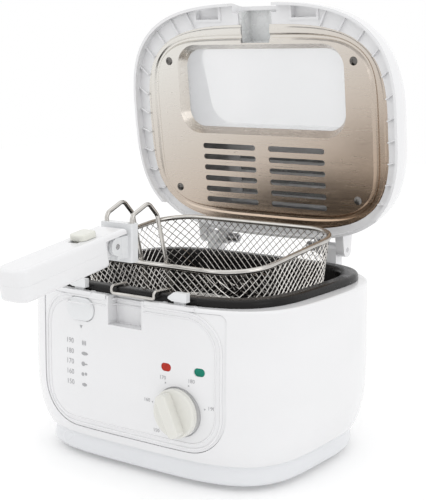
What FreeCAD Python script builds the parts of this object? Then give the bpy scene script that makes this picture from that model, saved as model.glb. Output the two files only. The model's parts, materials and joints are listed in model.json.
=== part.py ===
"""Deep fryer with a hinged lid, a lifting wire basket and a folding basket handle.

Millimetres. X is the width, -Y the front, +Z up. Pieces are drawn round the centre of the
frying pot, on the ground, and the whole fryer is moved at the end so that its origin is the
bottom centre of the box round it. The lid is drawn shut and then swung open; the basket is
drawn in its raised, draining position.
"""
import FreeCAD, Part
import math
import os

from FreeCAD import Vector

# ---- housing -------------------------------------------------------------------------------
HOUSING_HALF_X = 131.0      # half width of the top outline
HOUSING_FRONT = 107.0       # distance from the origin to the front of the top outline
HOUSING_REAR = 113.0
HOUSING_TOP = 145.5         # height of the ledge round the pot
FRONT_POWER = 4.0           # squareness of the front corners (2 is an ellipse)
REAR_POWER = 2.9            # squareness of the rear corners
HOUSING_WALL = 2.4
LEDGE_FILLET = 2.0
BELLY = 1.0                 # how far the side walls swell half way up
SEAM_Z = 22.0               # joint between the housing and the base plate
SEAM_INSET = 8.0            # how far the outline has drawn in at the seam
BASE_BOTTOM = 4.0
BASE_INSET = 17.0           # how far the outline has drawn in at the base's underside
BASE_WALL = 2.4
FOOT_RADIUS = 9.0
FOOT_X = 80.0
FOOT_FRONT_Y = -66.0
FOOT_REAR_Y = 68.0
SCREW_RADIUS = 1.9

# ---- pot -----------------------------------------------------------------------------------
POT_RIM_HALF_X = 119.0
POT_RIM_HALF_Y = 100.5
POT_RIM_WIDTH = 13.0        # width of the rolled rim, seen from above
POT_RIM_HEIGHT = 6.0
POT_POWER = 3.9
POT_WALL = 1.6
POT_FLOOR_Z = 40.0
POT_TAPER = 8.0             # how much the pot narrows down to its floor

# ---- front panel ---------------------------------------------------------------------------
PANEL_HALF_X = 92.0
PANEL_BOTTOM = 30.0
PANEL_TOP = 142.0
PANEL_CORNER = 35.0
PANEL_WALL = 2.0
PANEL_GAP = 0.4             # gap between the panel and the edge of its hole
PANEL_SETBACK = 0.6         # the panel's face lies this far behind the housing's
POCKET_HALF_X = 17.0        # pocket that the basket's bracket drops into
POCKET_BOTTOM = 122.0
POCKET_BACK_Y = -96.0
DIAL_X = 52.0
DIAL_Z = 62.5
LAMP_Z = 96.5
RED_LAMP_X = 41.0
GREEN_LAMP_X = 71.0
LAMP_WIDTH = 9.5
LAMP_HEIGHT = 6.5

# ---- control knob --------------------------------------------------------------------------
KNOB_RADIUS = 19.3
KNOB_SKIRT = 5.0            # thickness of the disc
KNOB_GRIP = 9.0             # height of the bar above the disc
KNOB_GAP = 1.0
GRIP_ANGLE = 25.0           # lean of the bar at rest, degrees from upright
SPINDLE_RADIUS = 3.0

# ---- lid latch and its button --------------------------------------------------------------
BUTTON_X = -46.0
BUTTON_Z = 131.0
BUTTON_WIDTH = 29.0
BUTTON_HEIGHT = 19.0
BUTTON_TRAVEL = 3.0
HOOK_X = 50.7               # each hook stands this far from the middle
HOOK_HALF = 8.8
HOOK_TOP = 155.5
HOOK_FRONT_Y = -102.6
HOOK_BACK_Y = -100.8
HOOK_SLOPE = 4.0            # drop of the sloped lead-in at the hook's nose
HOOK_NOSE = 5.5             # height of the hook's nose below its top
HOOK_ROOT = 7.0             # the hook's head starts this far below its top
HOOK_HEAD = 4.6             # thickness of the hook's head above the ledge
BAR_Z = 112.0
BAR_HEIGHT = 8.0
RAMP_GAP = 0.45             # play between the button's foot and the slider, along X
SPRING_END_X = 72.0         # fixed end of the slider's return spring

# ---- lid (drawn shut) ----------------------------------------------------------------------
HINGE_Y = 108.0
HINGE_Z = 162.0
OPEN_ANGLE = 82.72
LINER_Z = 155.0             # underside of the steel liner when the lid is shut
LID_HALF_X = 139.0
LID_FRONT = 111.5
LID_REAR = 100.0
LID_POWER = 3.1
SKIRT_DROP = 8.2            # the skirt reaches this far below the liner
LID_HEIGHT = 60.0           # from the skirt's lower edge to the flat top
LID_WALL = 2.4
LINER_HALF_X = 126.5
LINER_HALF_Y = 91.2
LINER_MID_Y = -1.1
LINER_SHEET = 0.8
LINER_POWER = 3.4
LINER_SQUARING = 0.12       # gain in squareness per millimetre further in
LINER_BEAD = 0.8            # height of the bead pressed round the flange
LINER_STEP = 1.8            # the liner's middle stands this much proud
REAR_SKIRT_Y = 75.0         # behind this the skirt stops short, clear of the pot's rim
SLOT_ROWS = 6
SLOT_PITCH = 10.2
SLOT_FIRST_Y = 18.1
SLOT_X0 = 7.1
SLOT_X1 = 65.1
SLOT_HEIGHT = 5.0
WINDOW_HALF_X = 89.0
WINDOW_FRONT = -76.0
WINDOW_REAR = 7.0
WINDOW_CORNER = 22.0
WINDOW_DEPTH = 7.0          # the pane lies this far inside the liner
PANE_THICKNESS = 2.0
FILTER_HALF_X = 56.0
FILTER_Y0 = 26.0
FILTER_Y1 = 74.0
FILTER_FLOOR = 186.0
CHANNEL_HALF_X = 14.5       # channel that the basket's handle wires run in
CHANNEL_REAR_Y = -76.4
CHANNEL_ROOF = 171.0
NOTCH_HEIGHT = 11.5         # the notch reaches this far above the liner
NOTCH_HALF_X = 23.0         # notch in the front of the lid's skirt
POST_X = 64.0
POST_WIDTH = 13.0
POST_RADIUS = 5.5
PIN_RADIUS = 2.2
KNUCKLE_RADIUS = 6.5
KNUCKLE_WIDTH = 8.0

# ---- basket (drawn raised) -----------------------------------------------------------------
BASKET_HALF_X = 93.0
BASKET_HALF_Y = 75.0
BASKET_MID_Y = 2.0
BASKET_RIM_Z = 175.5
BASKET_TILT = 6.3           # the raised basket leans towards the handle
BASKET_DEPTH = 70.0
BASKET_CORNER = 36.0
BASKET_TAPER = 9.0
MESH_THICKNESS = 1.6
RIM_WIRE = 2.2              # radius of the rim wire
FRAME_WIRE = 1.7            # radius of the handle's wires
FRAME_X = 12.6              # each handle wire stands this far from the middle
BASKET_LIFT = 52.0

# ---- handle --------------------------------------------------------------------------------
BRACKET_HALF_X = 15.6
BRACKET_FRONT_Y = -115.5
BRACKET_BACK_Y = -107.2
BRACKET_BOTTOM = 176.0
BRACKET_TOP = 206.0
PIVOT_Y = -128.0
PIVOT_Z = 190.0
GRIP_HALF_X = 14.0
GRIP_TIP_Y = -231.0
GRIP_START_Y = -139.0
GRIP_HALF_Z = 12.0
GRIP_WALL = 2.2
TONGUE_HALF_X = 8.6
EYE_RADIUS = 7.0            # round ends of the tongue and cheeks at the pivot
GRIP_TILT = 8.6             # the grip droops towards its tip, degrees
HOOD_GAP = 2.6              # gap between the grip's hood and the bracket
CHEEK_THICKNESS = 3.2
LOCK_Y = -151.0
LOCK_HALF_X = 7.5
LOCK_LENGTH = 17.0
LOCK_TRAVEL = 5.0

# ---- drain rest, heater and cord inlet -----------------------------------------------------
REST_LEFT_X = -14.8
REST_RIGHT_X = 27.8
REST_WIRE = 1.25
ELEMENT_RADIUS = 3.3
GLAND_X = 70.0
GLAND_Z = 34.0
GLAND_BORE = 4.0
GLAND_RADIUS = 8.0

TOUCH = 0.05                # play between pieces that lie against each other
RUNNING = 0.05              # radial play of a pin in its bore
CURVE_POINTS = 32


# ---- helpers -------------------------------------------------------------------------------
def outline(half_x, front, rear, z, front_power, rear_power):
    """Closed curve through a rounded rectangle with bowed sides, at height z."""
    middle = (rear - front) / 2.0
    half_y = (rear + front) / 2.0
    points = []
    for step in range(CURVE_POINTS):
        angle = 2.0 * math.pi * (step + 0.5) / CURVE_POINTS
        c, s = math.cos(angle), math.sin(angle)
        power = rear_power if s > 0 else front_power
        reach = (abs(c / half_x) ** power + abs(s / half_y) ** power) ** (-1.0 / power)
        points.append(Vector(reach * c, middle + reach * s, z))
    curve = Part.BSplineCurve()
    curve.interpolate(Points=points, PeriodicFlag=True)
    return Part.Wire([curve.toShape()])


def housing_outline(z, inset):
    return outline(HOUSING_HALF_X - inset, HOUSING_FRONT - inset, HOUSING_REAR - inset, z,
                   FRONT_POWER, REAR_POWER)


def pot_outline(z, inset):
    return outline(POT_RIM_HALF_X - inset, POT_RIM_HALF_Y - inset, POT_RIM_HALF_Y - inset, z,
                   POT_POWER, POT_POWER)


def loft(wires, ruled=False):
    return Part.makeLoft(wires, True, ruled)


def prism(wire, height):
    return Part.Face(wire).extrude(Vector(0, 0, height))


def box(x0, x1, y0, y1, z0, z1):
    return Part.makeBox(x1 - x0, y1 - y0, z1 - z0, Vector(x0, y0, z0))


def cylinder(radius, start, direction, length):
    return Part.makeCylinder(radius, length, Vector(*start), Vector(*direction))


def rounded_wire(u0, u1, v0, v1, radii, place):
    """Rectangle with four corner radii, in the order (u0,v0) (u1,v0) (u1,v1) (u0,v1)."""
    corners = [(u0, v0, 1, 1), (u1, v0, -1, 1), (u1, v1, -1, -1), (u0, v1, 1, -1)]
    edges = []
    ends = []
    for (u, v, du, dv), r in zip(corners, radii):
        flip = du * dv < 0
        first = (u, v + dv * r) if not flip else (u + du * r, v)
        last = (u + du * r, v) if not flip else (u, v + dv * r)
        bend = r * (1.0 - math.sqrt(0.5))
        middle = (u + du * bend, v + dv * bend)
        ends.append((first, middle, last))
    for index, (first, middle, last) in enumerate(ends):
        edges.append(Part.Arc(place(*first), place(*middle), place(*last)).toShape())
        following = ends[(index + 1) % 4][0]
        if math.dist(last, following) > 1e-6:
            edges.append(Part.LineSegment(place(*last), place(*following)).toShape())
    return Part.Wire(edges)


def flat_rounded(x0, x1, y0, y1, radius, z):
    return rounded_wire(x0, x1, y0, y1, [radius] * 4, lambda u, v: Vector(u, v, z))


def upright_slab(x0, x1, z0, z1, radii, y0, y1):
    """Slab with rounded corners that stands across Y."""
    wire = rounded_wire(x0, x1, z0, z1, radii, lambda u, v: Vector(u, y0, v))
    return Part.Face(wire).extrude(Vector(0, y1 - y0, 0))


def oval(x, z, width, height, y0, y1):
    radius = min(width, height) / 2.0 - 0.01
    return upright_slab(x - width / 2, x + width / 2, z - height / 2, z + height / 2,
                        [radius] * 4, y0, y1)


def bent_wire(points, bend, radius):
    """Round wire along straight runs joined by tangent arcs."""
    edges = []
    start = points[0]
    for before, corner, after in zip(points, points[1:], points[2:]):
        run_in = (before - corner).normalize()
        run_out = (after - corner).normalize()
        half = run_in.getAngle(run_out) / 2.0
        reach = bend / math.tan(half)
        first = corner + run_in * reach
        last = corner + run_out * reach
        inward = (run_in + run_out).normalize()
        middle = corner + inward * (bend / math.sin(half) - bend)
        edges.append(Part.LineSegment(start, first).toShape())
        edges.append(Part.Arc(first, middle, last).toShape())
        start = last
    edges.append(Part.LineSegment(start, points[-1]).toShape())
    path = Part.Wire(edges)
    direction = points[1] - points[0]
    section = Part.Wire([Part.Circle(points[0], direction, radius).toShape()])
    return path.makePipeShell([section], True, True)


def closed_wire_loop(x0, x1, y0, y1, corner, z, radius):
    """Round wire bent into a rounded rectangle and welded shut."""
    path = flat_rounded(x0, x1, y0, y1, corner, z)
    start = path.Edges[0].Vertexes[0].Point
    section = Part.Wire([Part.Circle(start, path.Edges[0].tangentAt(path.Edges[0].FirstParameter),
                                     radius).toShape()])
    return path.makePipeShell([section], True, True)


def fuse(first, *others):
    result = first
    for other in others:
        result = result.fuse(other)
    return result.removeSplitter()


def cut(first, *others):
    result = first
    for other in others:
        result = result.cut(other)
    return result


def group(solids):
    return Part.makeCompound(solids)


def fillet_at_height(shape, z, radius, reach=0.05):
    """Round the edges that lie whole at height z."""
    edges = [e for e in shape.Edges if abs(e.BoundBox.ZMin - z) < reach and abs(e.BoundBox.ZMax - z) < reach]
    return shape.makeFillet(radius, edges)


def swing_lid(shape):
    """Turn a piece drawn on the shut lid into the open position."""
    turned = shape.copy()
    turned.rotate(Vector(0, HINGE_Y, HINGE_Z), Vector(1, 0, 0), -OPEN_ANGLE)
    return turned


def tilt_basket(shape):
    turned = shape.copy()
    turned.rotate(Vector(0, BASKET_MID_Y, BASKET_RIM_Z), Vector(1, 0, 0), BASKET_TILT)
    return turned


def droop_grip(shape):
    """Turn a piece of the grip about the pivot, tip down."""
    turned = shape.copy()
    turned.rotate(Vector(0, PIVOT_Y, PIVOT_Z), Vector(1, 0, 0), GRIP_TILT)
    return turned


def front_y(x):
    """Y of the housing's front face at the top outline, for a given x."""
    middle = (HOUSING_REAR - HOUSING_FRONT) / 2.0
    half_y = (HOUSING_REAR + HOUSING_FRONT) / 2.0
    share = abs(x) / HOUSING_HALF_X
    return middle - half_y * (1.0 - share ** FRONT_POWER) ** (1.0 / FRONT_POWER)


# ---- housing and base ----------------------------------------------------------------------
def housing_skin(inset):
    """Solid bounded by the housing's side surface, moved inwards by inset."""
    mid_z = (SEAM_Z + HOUSING_TOP) / 2.0
    low_z = SEAM_Z + 13.0
    rows = [(SEAM_Z, SEAM_INSET), (low_z, 0.38 * SEAM_INSET), (low_z + 20.0, -0.3 * BELLY),
            (mid_z, -BELLY), (HOUSING_TOP - 25.0, -0.5 * BELLY), (HOUSING_TOP, 0.0)]
    return loft([housing_outline(z, draw + inset) for z, draw in rows])


def panel_prism(grow, y0, y1):
    radii = [PANEL_CORNER + grow, PANEL_CORNER + grow, 6.0, 6.0]
    return upright_slab(-PANEL_HALF_X - grow, PANEL_HALF_X + grow, PANEL_BOTTOM - grow,
                        PANEL_TOP + min(grow, 1.0), radii, y0, y1)


def make_housing():
    """One-piece outer shell, open below, with a ledge round the pot."""
    outer = fillet_at_height(housing_skin(0.0), HOUSING_TOP, LEDGE_FILLET)
    inner = housing_skin(HOUSING_WALL).common(box(-300, 300, -300, 300, 0, HOUSING_TOP - HOUSING_WALL))
    mouth = prism(pot_outline(HOUSING_TOP - 20.0, POT_RIM_WIDTH - 2.5), 40.0)
    panel_hole = panel_prism(PANEL_GAP, -300.0, -60.0)
    pocket = box(-POCKET_HALF_X - 2.6, POCKET_HALF_X + 2.6, -300, POCKET_BACK_Y + 2.6,
                 POCKET_BOTTOM - 3.0, HOUSING_TOP + 10)
    gland_hole = cylinder(GLAND_RADIUS - 2.0, (GLAND_X, 60, GLAND_Z), (0, 1, 0), 80)
    shell = cut(outer, inner, mouth, panel_hole, pocket, gland_hole)
    shell = shell.fuse([hook_pad(-1), hook_pad(1), hinge_hump(-1), hinge_hump(1)])
    reach = HOOK_HALF + BUTTON_TRAVEL + 0.6
    slots = [box(side * HOOK_X - reach, side * HOOK_X + reach, HOOK_FRONT_Y - 0.4, HOOK_BACK_Y + 0.4,
                 HOUSING_TOP - 12, HOUSING_TOP + 12) for side in (-1, 1)]
    return shell.cut(slots)


def hook_pad(side):
    """Thin raised plate round one hook."""
    x = side * HOOK_X
    return box(x - 16, x + 16, -107.2, -99.0 - 1.6, HOUSING_TOP - HOUSING_WALL, HOUSING_TOP + 0.7)


def make_base_plate():
    rows = [(SEAM_Z, SEAM_INSET), (SEAM_Z - 8.0, SEAM_INSET + 3.0), (BASE_BOTTOM + 4.0, BASE_INSET - 6.5),
            (BASE_BOTTOM, BASE_INSET)]
    outer = loft([housing_outline(z, draw) for z, draw in rows])
    inner = loft([housing_outline(z + (BASE_WALL if z < SEAM_Z else 0.0), draw + BASE_WALL)
                  for z, draw in rows])
    plate = outer.cut(inner)
    for x, y in base_screw_places():
        plate = plate.fuse(cylinder(6.0, (x, y, BASE_BOTTOM), (0, 0, 1), SEAM_Z - BASE_BOTTOM))
        plate = plate.cut(cylinder(SCREW_RADIUS + 0.3, (x, y, 0), (0, 0, 1), 40))
        plate = plate.cut(cylinder(4.0, (x, y, 0), (0, 0, 1), BASE_BOTTOM + 6.0))
    vents = [box(column * 9.0 - 2.0, column * 9.0 + 2.0, row * 16.0 - 40, row * 16.0 - 30, 0, 9)
             for row in range(5) for column in range(-3, 4)]
    return plate.cut(vents)


def base_screw_places():
    return [(sx * (HOUSING_HALF_X - 32.0), y) for sx in (-1, 1) for y in (-38.0, 52.0)]


def make_base_screws():
    screws = []
    for x, y in base_screw_places():
        head_z = BASE_BOTTOM + 6.0
        head = cylinder(3.4, (x, y, head_z - 2.2), (0, 0, 1), 2.2)
        shank = cylinder(SCREW_RADIUS, (x, y, head_z - 0.5), (0, 0, 1), SEAM_Z + 8.0 - head_z)
        slot_a = box(x - 2.4, x + 2.4, y - 0.4, y + 0.4, head_z - 2.3, head_z - 1.2)
        slot_b = box(x - 0.4, x + 0.4, y - 2.4, y + 2.4, head_z - 2.3, head_z - 1.2)
        screws.append(cut(head.fuse(shank), slot_a, slot_b))
    return group(screws)


def make_screw_bosses():
    """Posts that hang from the pot's flange level down to the base plate's screws."""
    posts = []
    for x, y in base_screw_places():
        post = cylinder(5.0, (x, y, SEAM_Z + TOUCH), (0, 0, 1), 8.0)
        posts.append(post.cut(cylinder(SCREW_RADIUS + TOUCH, (x, y, SEAM_Z - 1), (0, 0, 1), 12.0)))
    return group(posts)


def make_feet():
    feet = []
    for x in (-FOOT_X, FOOT_X):
        for y in (FOOT_FRONT_Y, FOOT_REAR_Y):
            pad = Part.makeCone(FOOT_RADIUS - 1.0, FOOT_RADIUS, BASE_BOTTOM, Vector(x, y, 0))
            feet.append(pad)
    return group(feet)


# ---- pot and heater ------------------------------------------------------------------------
def make_pot():
    rim = prism(pot_outline(HOUSING_TOP, 0.0), POT_RIM_HEIGHT)
    rim = rim.cut(prism(pot_outline(HOUSING_TOP - 1.0, POT_RIM_WIDTH), POT_RIM_HEIGHT + 2.0))
    rim = fillet_at_height(rim, HOUSING_TOP + POT_RIM_HEIGHT, 0.62 * POT_RIM_HEIGHT)
    top = HOUSING_TOP + 2.0
    low = POT_RIM_WIDTH + POT_TAPER
    outer = loft([pot_outline(POT_FLOOR_Z - POT_WALL, low - POT_WALL + 6.0),
                  pot_outline(POT_FLOOR_Z + 7.0, low - POT_WALL),
                  pot_outline(top, POT_RIM_WIDTH - POT_WALL)], True)
    inner = loft([pot_outline(POT_FLOOR_Z, low + 6.0), pot_outline(POT_FLOOR_Z + 7.0, low),
                  pot_outline(top, POT_RIM_WIDTH)], True)
    return outer.cut(inner).fuse(rim).removeSplitter()


def make_heating_element():
    """Tubular heater bent into an open loop below the pot."""
    z = POT_FLOOR_Z - POT_WALL - ELEMENT_RADIUS - TOUCH
    reach_x = 66.0
    reach_y = 48.0
    points = [Vector(-14, 82, z), Vector(-14, 30, z), Vector(-reach_x, 30, z), Vector(-reach_x, -reach_y, z),
              Vector(reach_x, -reach_y, z), Vector(reach_x, 30, z), Vector(14, 30, z), Vector(14, 82, z)]
    return bent_wire(points, 13.0, ELEMENT_RADIUS)


def make_heat_shield():
    """Pressed tray between the heater and the base plate."""
    z = POT_FLOOR_Z - 13.5
    tray = prism(flat_rounded(-88, 88, -68, 60, 20, z), 0.8)
    wall = prism(flat_rounded(-88, 88, -68, 60, 20, z), 7.0)
    wall = wall.cut(prism(flat_rounded(-87.2, 87.2, -67.2, 59.2, 19.2, z - 1), 9.0))
    gap = box(-19, 19, 50, 70, z + 0.8, z + 12)
    return tray.fuse(wall).cut(gap).removeSplitter()


def make_shield_legs():
    """Four spacers that carry the heat shield on the base plate."""
    z = BASE_BOTTOM + BASE_WALL + TOUCH
    top = POT_FLOOR_Z - 13.5 - TOUCH
    legs = [cylinder(4.0, (x, y, z), (0, 0, 1), top - z) for x in (-60, 60) for y in (-52, 50)]
    return group(legs)


def panel_inner_y():
    """Y just behind the panel's rear face."""
    return -HOUSING_FRONT + PANEL_WALL + 4.2


def make_thermostat():
    y = panel_inner_y() + 1.2
    body = box(DIAL_X - 15, DIAL_X + 15, y, y + 8.5, DIAL_Z - 13, DIAL_Z + 13)
    bush = cylinder(5.0, (DIAL_X, y, DIAL_Z), (0, -1, 0), 1.0)
    bore = cylinder(SPINDLE_RADIUS + RUNNING, (DIAL_X, y + 6.0, DIAL_Z), (0, -1, 0), 20)
    tabs = [box(DIAL_X + sx * 9 - 2.5, DIAL_X + sx * 9 + 2.5, y + 2, y + 2.8, DIAL_Z - 20, DIAL_Z - 13)
            for sx in (-1, 1)]
    return fuse(body, bush, *tabs).cut(bore)


def make_capillary():
    """Thin tube from the thermostat to the bulb below the pot."""
    y = panel_inner_y() + 1.2
    z = POT_FLOOR_Z - POT_WALL - 2.0 - TOUCH
    x = DIAL_X - 22.0
    bulb_y = -66.0
    points = [Vector(x, y + 5, DIAL_Z), Vector(x, y + 5, z), Vector(x, bulb_y, z),
              Vector(x - 14.0, bulb_y, z)]
    tube = bent_wire(points, 6.0, 1.0)
    stub = cylinder(1.0, (x, y + 5, DIAL_Z - 1.2), (1, 0, 0), 7.0 - TOUCH)
    bulb = cylinder(1.95, (x - 12.0, bulb_y, z), (-1, 0, 0), 50)
    return fuse(tube, stub, bulb)


def make_thermal_cutout():
    z = POT_FLOOR_Z - POT_WALL - TOUCH
    body = cylinder(8.0, (-34, 0, z - 7.0), (0, 0, 1), 7.0)
    tabs = [box(-36, -32, sy * 8.0 - 5.0, sy * 8.0 + 5.0, z - 5.2, z - 4.4) for sy in (-1, 1)]
    return fuse(body, *tabs)


def make_terminal_block():
    z = BASE_BOTTOM + BASE_WALL + TOUCH
    body = box(GLAND_X - 40, GLAND_X - 10, 62, 78, z, z + 13)
    for index in range(3):
        x = GLAND_X - 35 + index * 10.0
        body = body.cut(cylinder(2.2, (x, 58, z + 5), (0, 1, 0), 24))
        body = body.cut(cylinder(2.0, (x, 66, z + 5), (0, 0, 1), 12))
    return body


def gland_wall_y():
    """Y of the housing's rear face at the cord gland."""
    half_y = (HOUSING_REAR + HOUSING_FRONT) / 2.0
    middle = (HOUSING_REAR - HOUSING_FRONT) / 2.0
    inset = 0.38 * SEAM_INSET
    share = GLAND_X / (HOUSING_HALF_X - inset)
    return middle + (half_y - inset) * (1.0 - share ** REAR_POWER) ** (1.0 / REAR_POWER)


def make_cord_gland():
    y = gland_wall_y()
    barrel = cylinder(GLAND_RADIUS - 2.0 - TOUCH, (GLAND_X, y - 12.0, GLAND_Z), (0, 1, 0), 15.0)
    collar = cylinder(GLAND_RADIUS, (GLAND_X, y + 3.0, GLAND_Z), (0, 1, 0), 4.0)
    nut = cylinder(GLAND_RADIUS + 0.6, (GLAND_X, y - 15.0, GLAND_Z), (0, 1, 0), 4.0)
    bore = cylinder(GLAND_BORE, (GLAND_X, y - 20.0, GLAND_Z), (0, 1, 0), 40.0)
    return fuse(barrel, collar, nut).cut(bore)


# ---- front panel ---------------------------------------------------------------------------
def make_front_panel():
    """Bowed control panel that fills the hole in the housing's front."""
    block = housing_skin(PANEL_SETBACK).common(panel_prism(0.0, -300.0, -60.0))
    panel = block.cut(housing_skin(PANEL_SETBACK + PANEL_WALL))
    front = -300.0
    pocket_outer = box(-POCKET_HALF_X - 2.0, POCKET_HALF_X + 2.0, front, POCKET_BACK_Y + 2.0,
                       POCKET_BOTTOM - 2.0, HOUSING_TOP - 0.4)
    pocket_outer = pocket_outer.common(housing_skin(PANEL_SETBACK))
    pocket_inner = box(-POCKET_HALF_X, POCKET_HALF_X, front - 1, POCKET_BACK_Y, POCKET_BOTTOM,
                       HOUSING_TOP + 5)
    panel = panel.fuse(pocket_outer).cut(pocket_inner)
    holes = [oval(BUTTON_X, BUTTON_Z, BUTTON_WIDTH + 0.8, BUTTON_HEIGHT + 0.8, -140, -80),
             oval(RED_LAMP_X, LAMP_Z, LAMP_WIDTH, LAMP_HEIGHT, -140, -80),
             oval(GREEN_LAMP_X, LAMP_Z, LAMP_WIDTH, LAMP_HEIGHT, -140, -80),
             cylinder(SPINDLE_RADIUS + 0.6, (DIAL_X, -140, DIAL_Z), (0, 1, 0), 60)]
    return cut(panel, *holes)


def make_lens(x):
    """Lamp lens with a flange that snaps behind the panel."""
    face = front_y(x) + 0.2
    lens = oval(x, LAMP_Z, LAMP_WIDTH - 2 * TOUCH, LAMP_HEIGHT - 2 * TOUCH, face, face + 6.5)
    rear = face + 6.5
    return lens.fuse(oval(x, LAMP_Z, LAMP_WIDTH + 2.4, LAMP_HEIGHT + 2.4, rear - 1.2, rear))


def make_lamps():
    """Two neon lamps on their holder."""
    y = max(front_y(RED_LAMP_X), front_y(GREEN_LAMP_X)) + 7.4
    bulbs = [cylinder(2.4, (x, y, LAMP_Z), (0, 1, 0), 3.2) for x in (RED_LAMP_X, GREEN_LAMP_X)]
    holder = box(RED_LAMP_X - 6, GREEN_LAMP_X + 6, y + 3.2, y + 4.8, LAMP_Z - 6, LAMP_Z + 6)
    return fuse(holder, *bulbs)


# ---- control knob --------------------------------------------------------------------------
def knob_seat_y():
    """Y of the knob's rear face, just clear of the panel."""
    return front_y(DIAL_X - KNOB_RADIUS) - BELLY + PANEL_SETBACK - KNOB_GAP


def make_knob():
    y = knob_seat_y()
    disc = cylinder(KNOB_RADIUS, (DIAL_X, y, DIAL_Z), (0, -1, 0), KNOB_SKIRT)
    front_edges = [e for e in disc.Edges if abs(e.BoundBox.YMin - (y - KNOB_SKIRT)) < 0.1
                   and abs(e.BoundBox.YMax - (y - KNOB_SKIRT)) < 0.1]
    disc = disc.makeFillet(1.6, front_edges)
    bar = upright_slab(DIAL_X - 5.0, DIAL_X + 5.0, DIAL_Z - 0.9 * KNOB_RADIUS, DIAL_Z + 0.9 * KNOB_RADIUS,
                       [4.0] * 4, y - KNOB_SKIRT - KNOB_GRIP, y - KNOB_SKIRT + 0.5)
    tips = [e for e in bar.Edges if abs(e.BoundBox.YMax - (y - KNOB_SKIRT - KNOB_GRIP)) < 0.1]
    bar = bar.makeFillet(1.4, tips)
    bar.rotate(Vector(DIAL_X, 0, DIAL_Z), Vector(0, 1, 0), -GRIP_ANGLE)
    socket = cylinder(SPINDLE_RADIUS + TOUCH, (DIAL_X, y + 1, DIAL_Z), (0, -1, 0), 8.0)
    return disc.fuse(bar).cut(socket).removeSplitter()


def make_spindle():
    y = panel_inner_y() + 1.2
    front = knob_seat_y() - 6.9
    return cylinder(SPINDLE_RADIUS, (DIAL_X, y + 5.5, DIAL_Z), (0, -1, 0), y + 5.5 - front)


# ---- lid latch -----------------------------------------------------------------------------
def make_latch_slider():
    """Bar behind the panel that carries the two lid hooks and the button's ramp."""
    depth = HOOK_BACK_Y - HOOK_FRONT_Y
    parts = [box(HOOK_X + 1, HOOK_X + 5, HOOK_BACK_Y - 0.5, HOOK_BACK_Y + 4.0, BAR_Z - BAR_HEIGHT, BAR_Z),
             box(BUTTON_X - 9, BUTTON_X + 12, HOOK_FRONT_Y, HOOK_BACK_Y, BUTTON_Z - 7, BUTTON_Z + 7)]
    for side in (-1, 1):
        x = side * HOOK_X
        root = HOOK_TOP - HOOK_ROOT
        parts.append(box(x - 5, x + 5, HOOK_FRONT_Y, HOOK_BACK_Y, BAR_Z - BAR_HEIGHT, root + 1.0))
        corners = [(x - 5, root), (x + HOOK_HALF, root), (x + HOOK_HALF, HOOK_TOP),
                   (x - 0.35 * HOOK_HALF, HOOK_TOP), (x - HOOK_HALF, HOOK_TOP - HOOK_SLOPE),
                   (x - HOOK_HALF, HOOK_TOP - HOOK_NOSE)]
        wire = Part.makePolygon([Vector(u, HOOK_BACK_Y - HOOK_HEAD, v) for u, v in corners + corners[:1]])
        parts.append(Part.Face(wire).extrude(Vector(0, HOOK_HEAD, 0)))
    bar = box(-HOOK_X - 5, HOOK_X + 5, HOOK_FRONT_Y, HOOK_BACK_Y, BAR_Z - BAR_HEIGHT, BAR_Z)
    slider = fuse(bar, *parts)
    front, rear = HOOK_FRONT_Y - depth, HOOK_BACK_Y + depth
    window = slab_in_plan([(BUTTON_X - 7.2, front), (ramp_x(front) + RAMP_GAP, front),
                           (ramp_x(rear) + RAMP_GAP, rear), (BUTTON_X - 7.2, rear)],
                          BUTTON_Z - 3.5, BUTTON_Z + 3.5)
    return slider.cut(window)


def ramp_x(y):
    """The 45 degree ramp that turns the button's push into the slider's sideways travel."""
    return BUTTON_X + 5.0 - (y - HOOK_FRONT_Y)


def slab_in_plan(corners, z0, z1):
    wire = Part.makePolygon([Vector(x, y, z0) for x, y in corners + corners[:1]])
    return Part.Face(wire).extrude(Vector(0, 0, z1 - z0))


def make_latch_guides():
    """Two keepers behind the slider and the stop of its return spring."""
    keepers = []
    for x in (-28.0, 28.0):
        back = box(x - 4, x + 4, HOOK_BACK_Y + 0.3, HOOK_BACK_Y + 2.1, BAR_Z - BAR_HEIGHT - 4, BAR_Z + 4)
        ribs = [box(x - 4, x + 4, front_y(x) + PANEL_SETBACK + PANEL_WALL, HOOK_BACK_Y + 1.0, z0, z0 + 2.0)
                for z0 in (BAR_Z - BAR_HEIGHT - 4, BAR_Z + 2.0)]
        keepers.append(fuse(back, *ribs))
    keepers.append(box(SPRING_END_X, SPRING_END_X + 1.6, HOOK_BACK_Y, HOOK_BACK_Y + 5.5,
                       BAR_Z - BAR_HEIGHT, BAR_Z))
    return group(keepers)


def make_latch_spring():
    start = HOOK_X + 5.9
    pitch = (SPRING_END_X - 0.9 - start) / 7.0
    centre_y = HOOK_BACK_Y + 2.5
    centre_z = BAR_Z - BAR_HEIGHT / 2
    return group([Part.makeTorus(1.9, 0.4, Vector(start + pitch * k, centre_y, centre_z), Vector(1, 0, 0))
                  for k in range(8)])


def button_front_y():
    return front_y(BUTTON_X) - 1.6


def make_release_button():
    """Oval push button with a slanted foot that drives the latch slider."""
    face = button_front_y()
    cap = oval(BUTTON_X, BUTTON_Z, BUTTON_WIDTH, BUTTON_HEIGHT, face, face + 2.4)
    front_edges = [e for e in cap.Edges if abs(e.BoundBox.YMax - face) < 0.1]
    cap = cap.makeFillet(1.0, front_edges)
    near, far = face + 2.3, HOOK_FRONT_Y + 4.0
    back = BUTTON_X - 2.5
    foot = slab_in_plan([(back, near), (ramp_x(near), near), (ramp_x(far), far), (back, far)],
                        BUTTON_Z - 3.0, BUTTON_Z + 3.0)
    return cap.fuse(foot)


# ---- lid -----------------------------------------------------------------------------------
def lid_outline(z, side, front, rear):
    return outline(LID_HALF_X - side, LID_FRONT - front, LID_REAR - rear, z, LID_POWER, LID_POWER)


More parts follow.
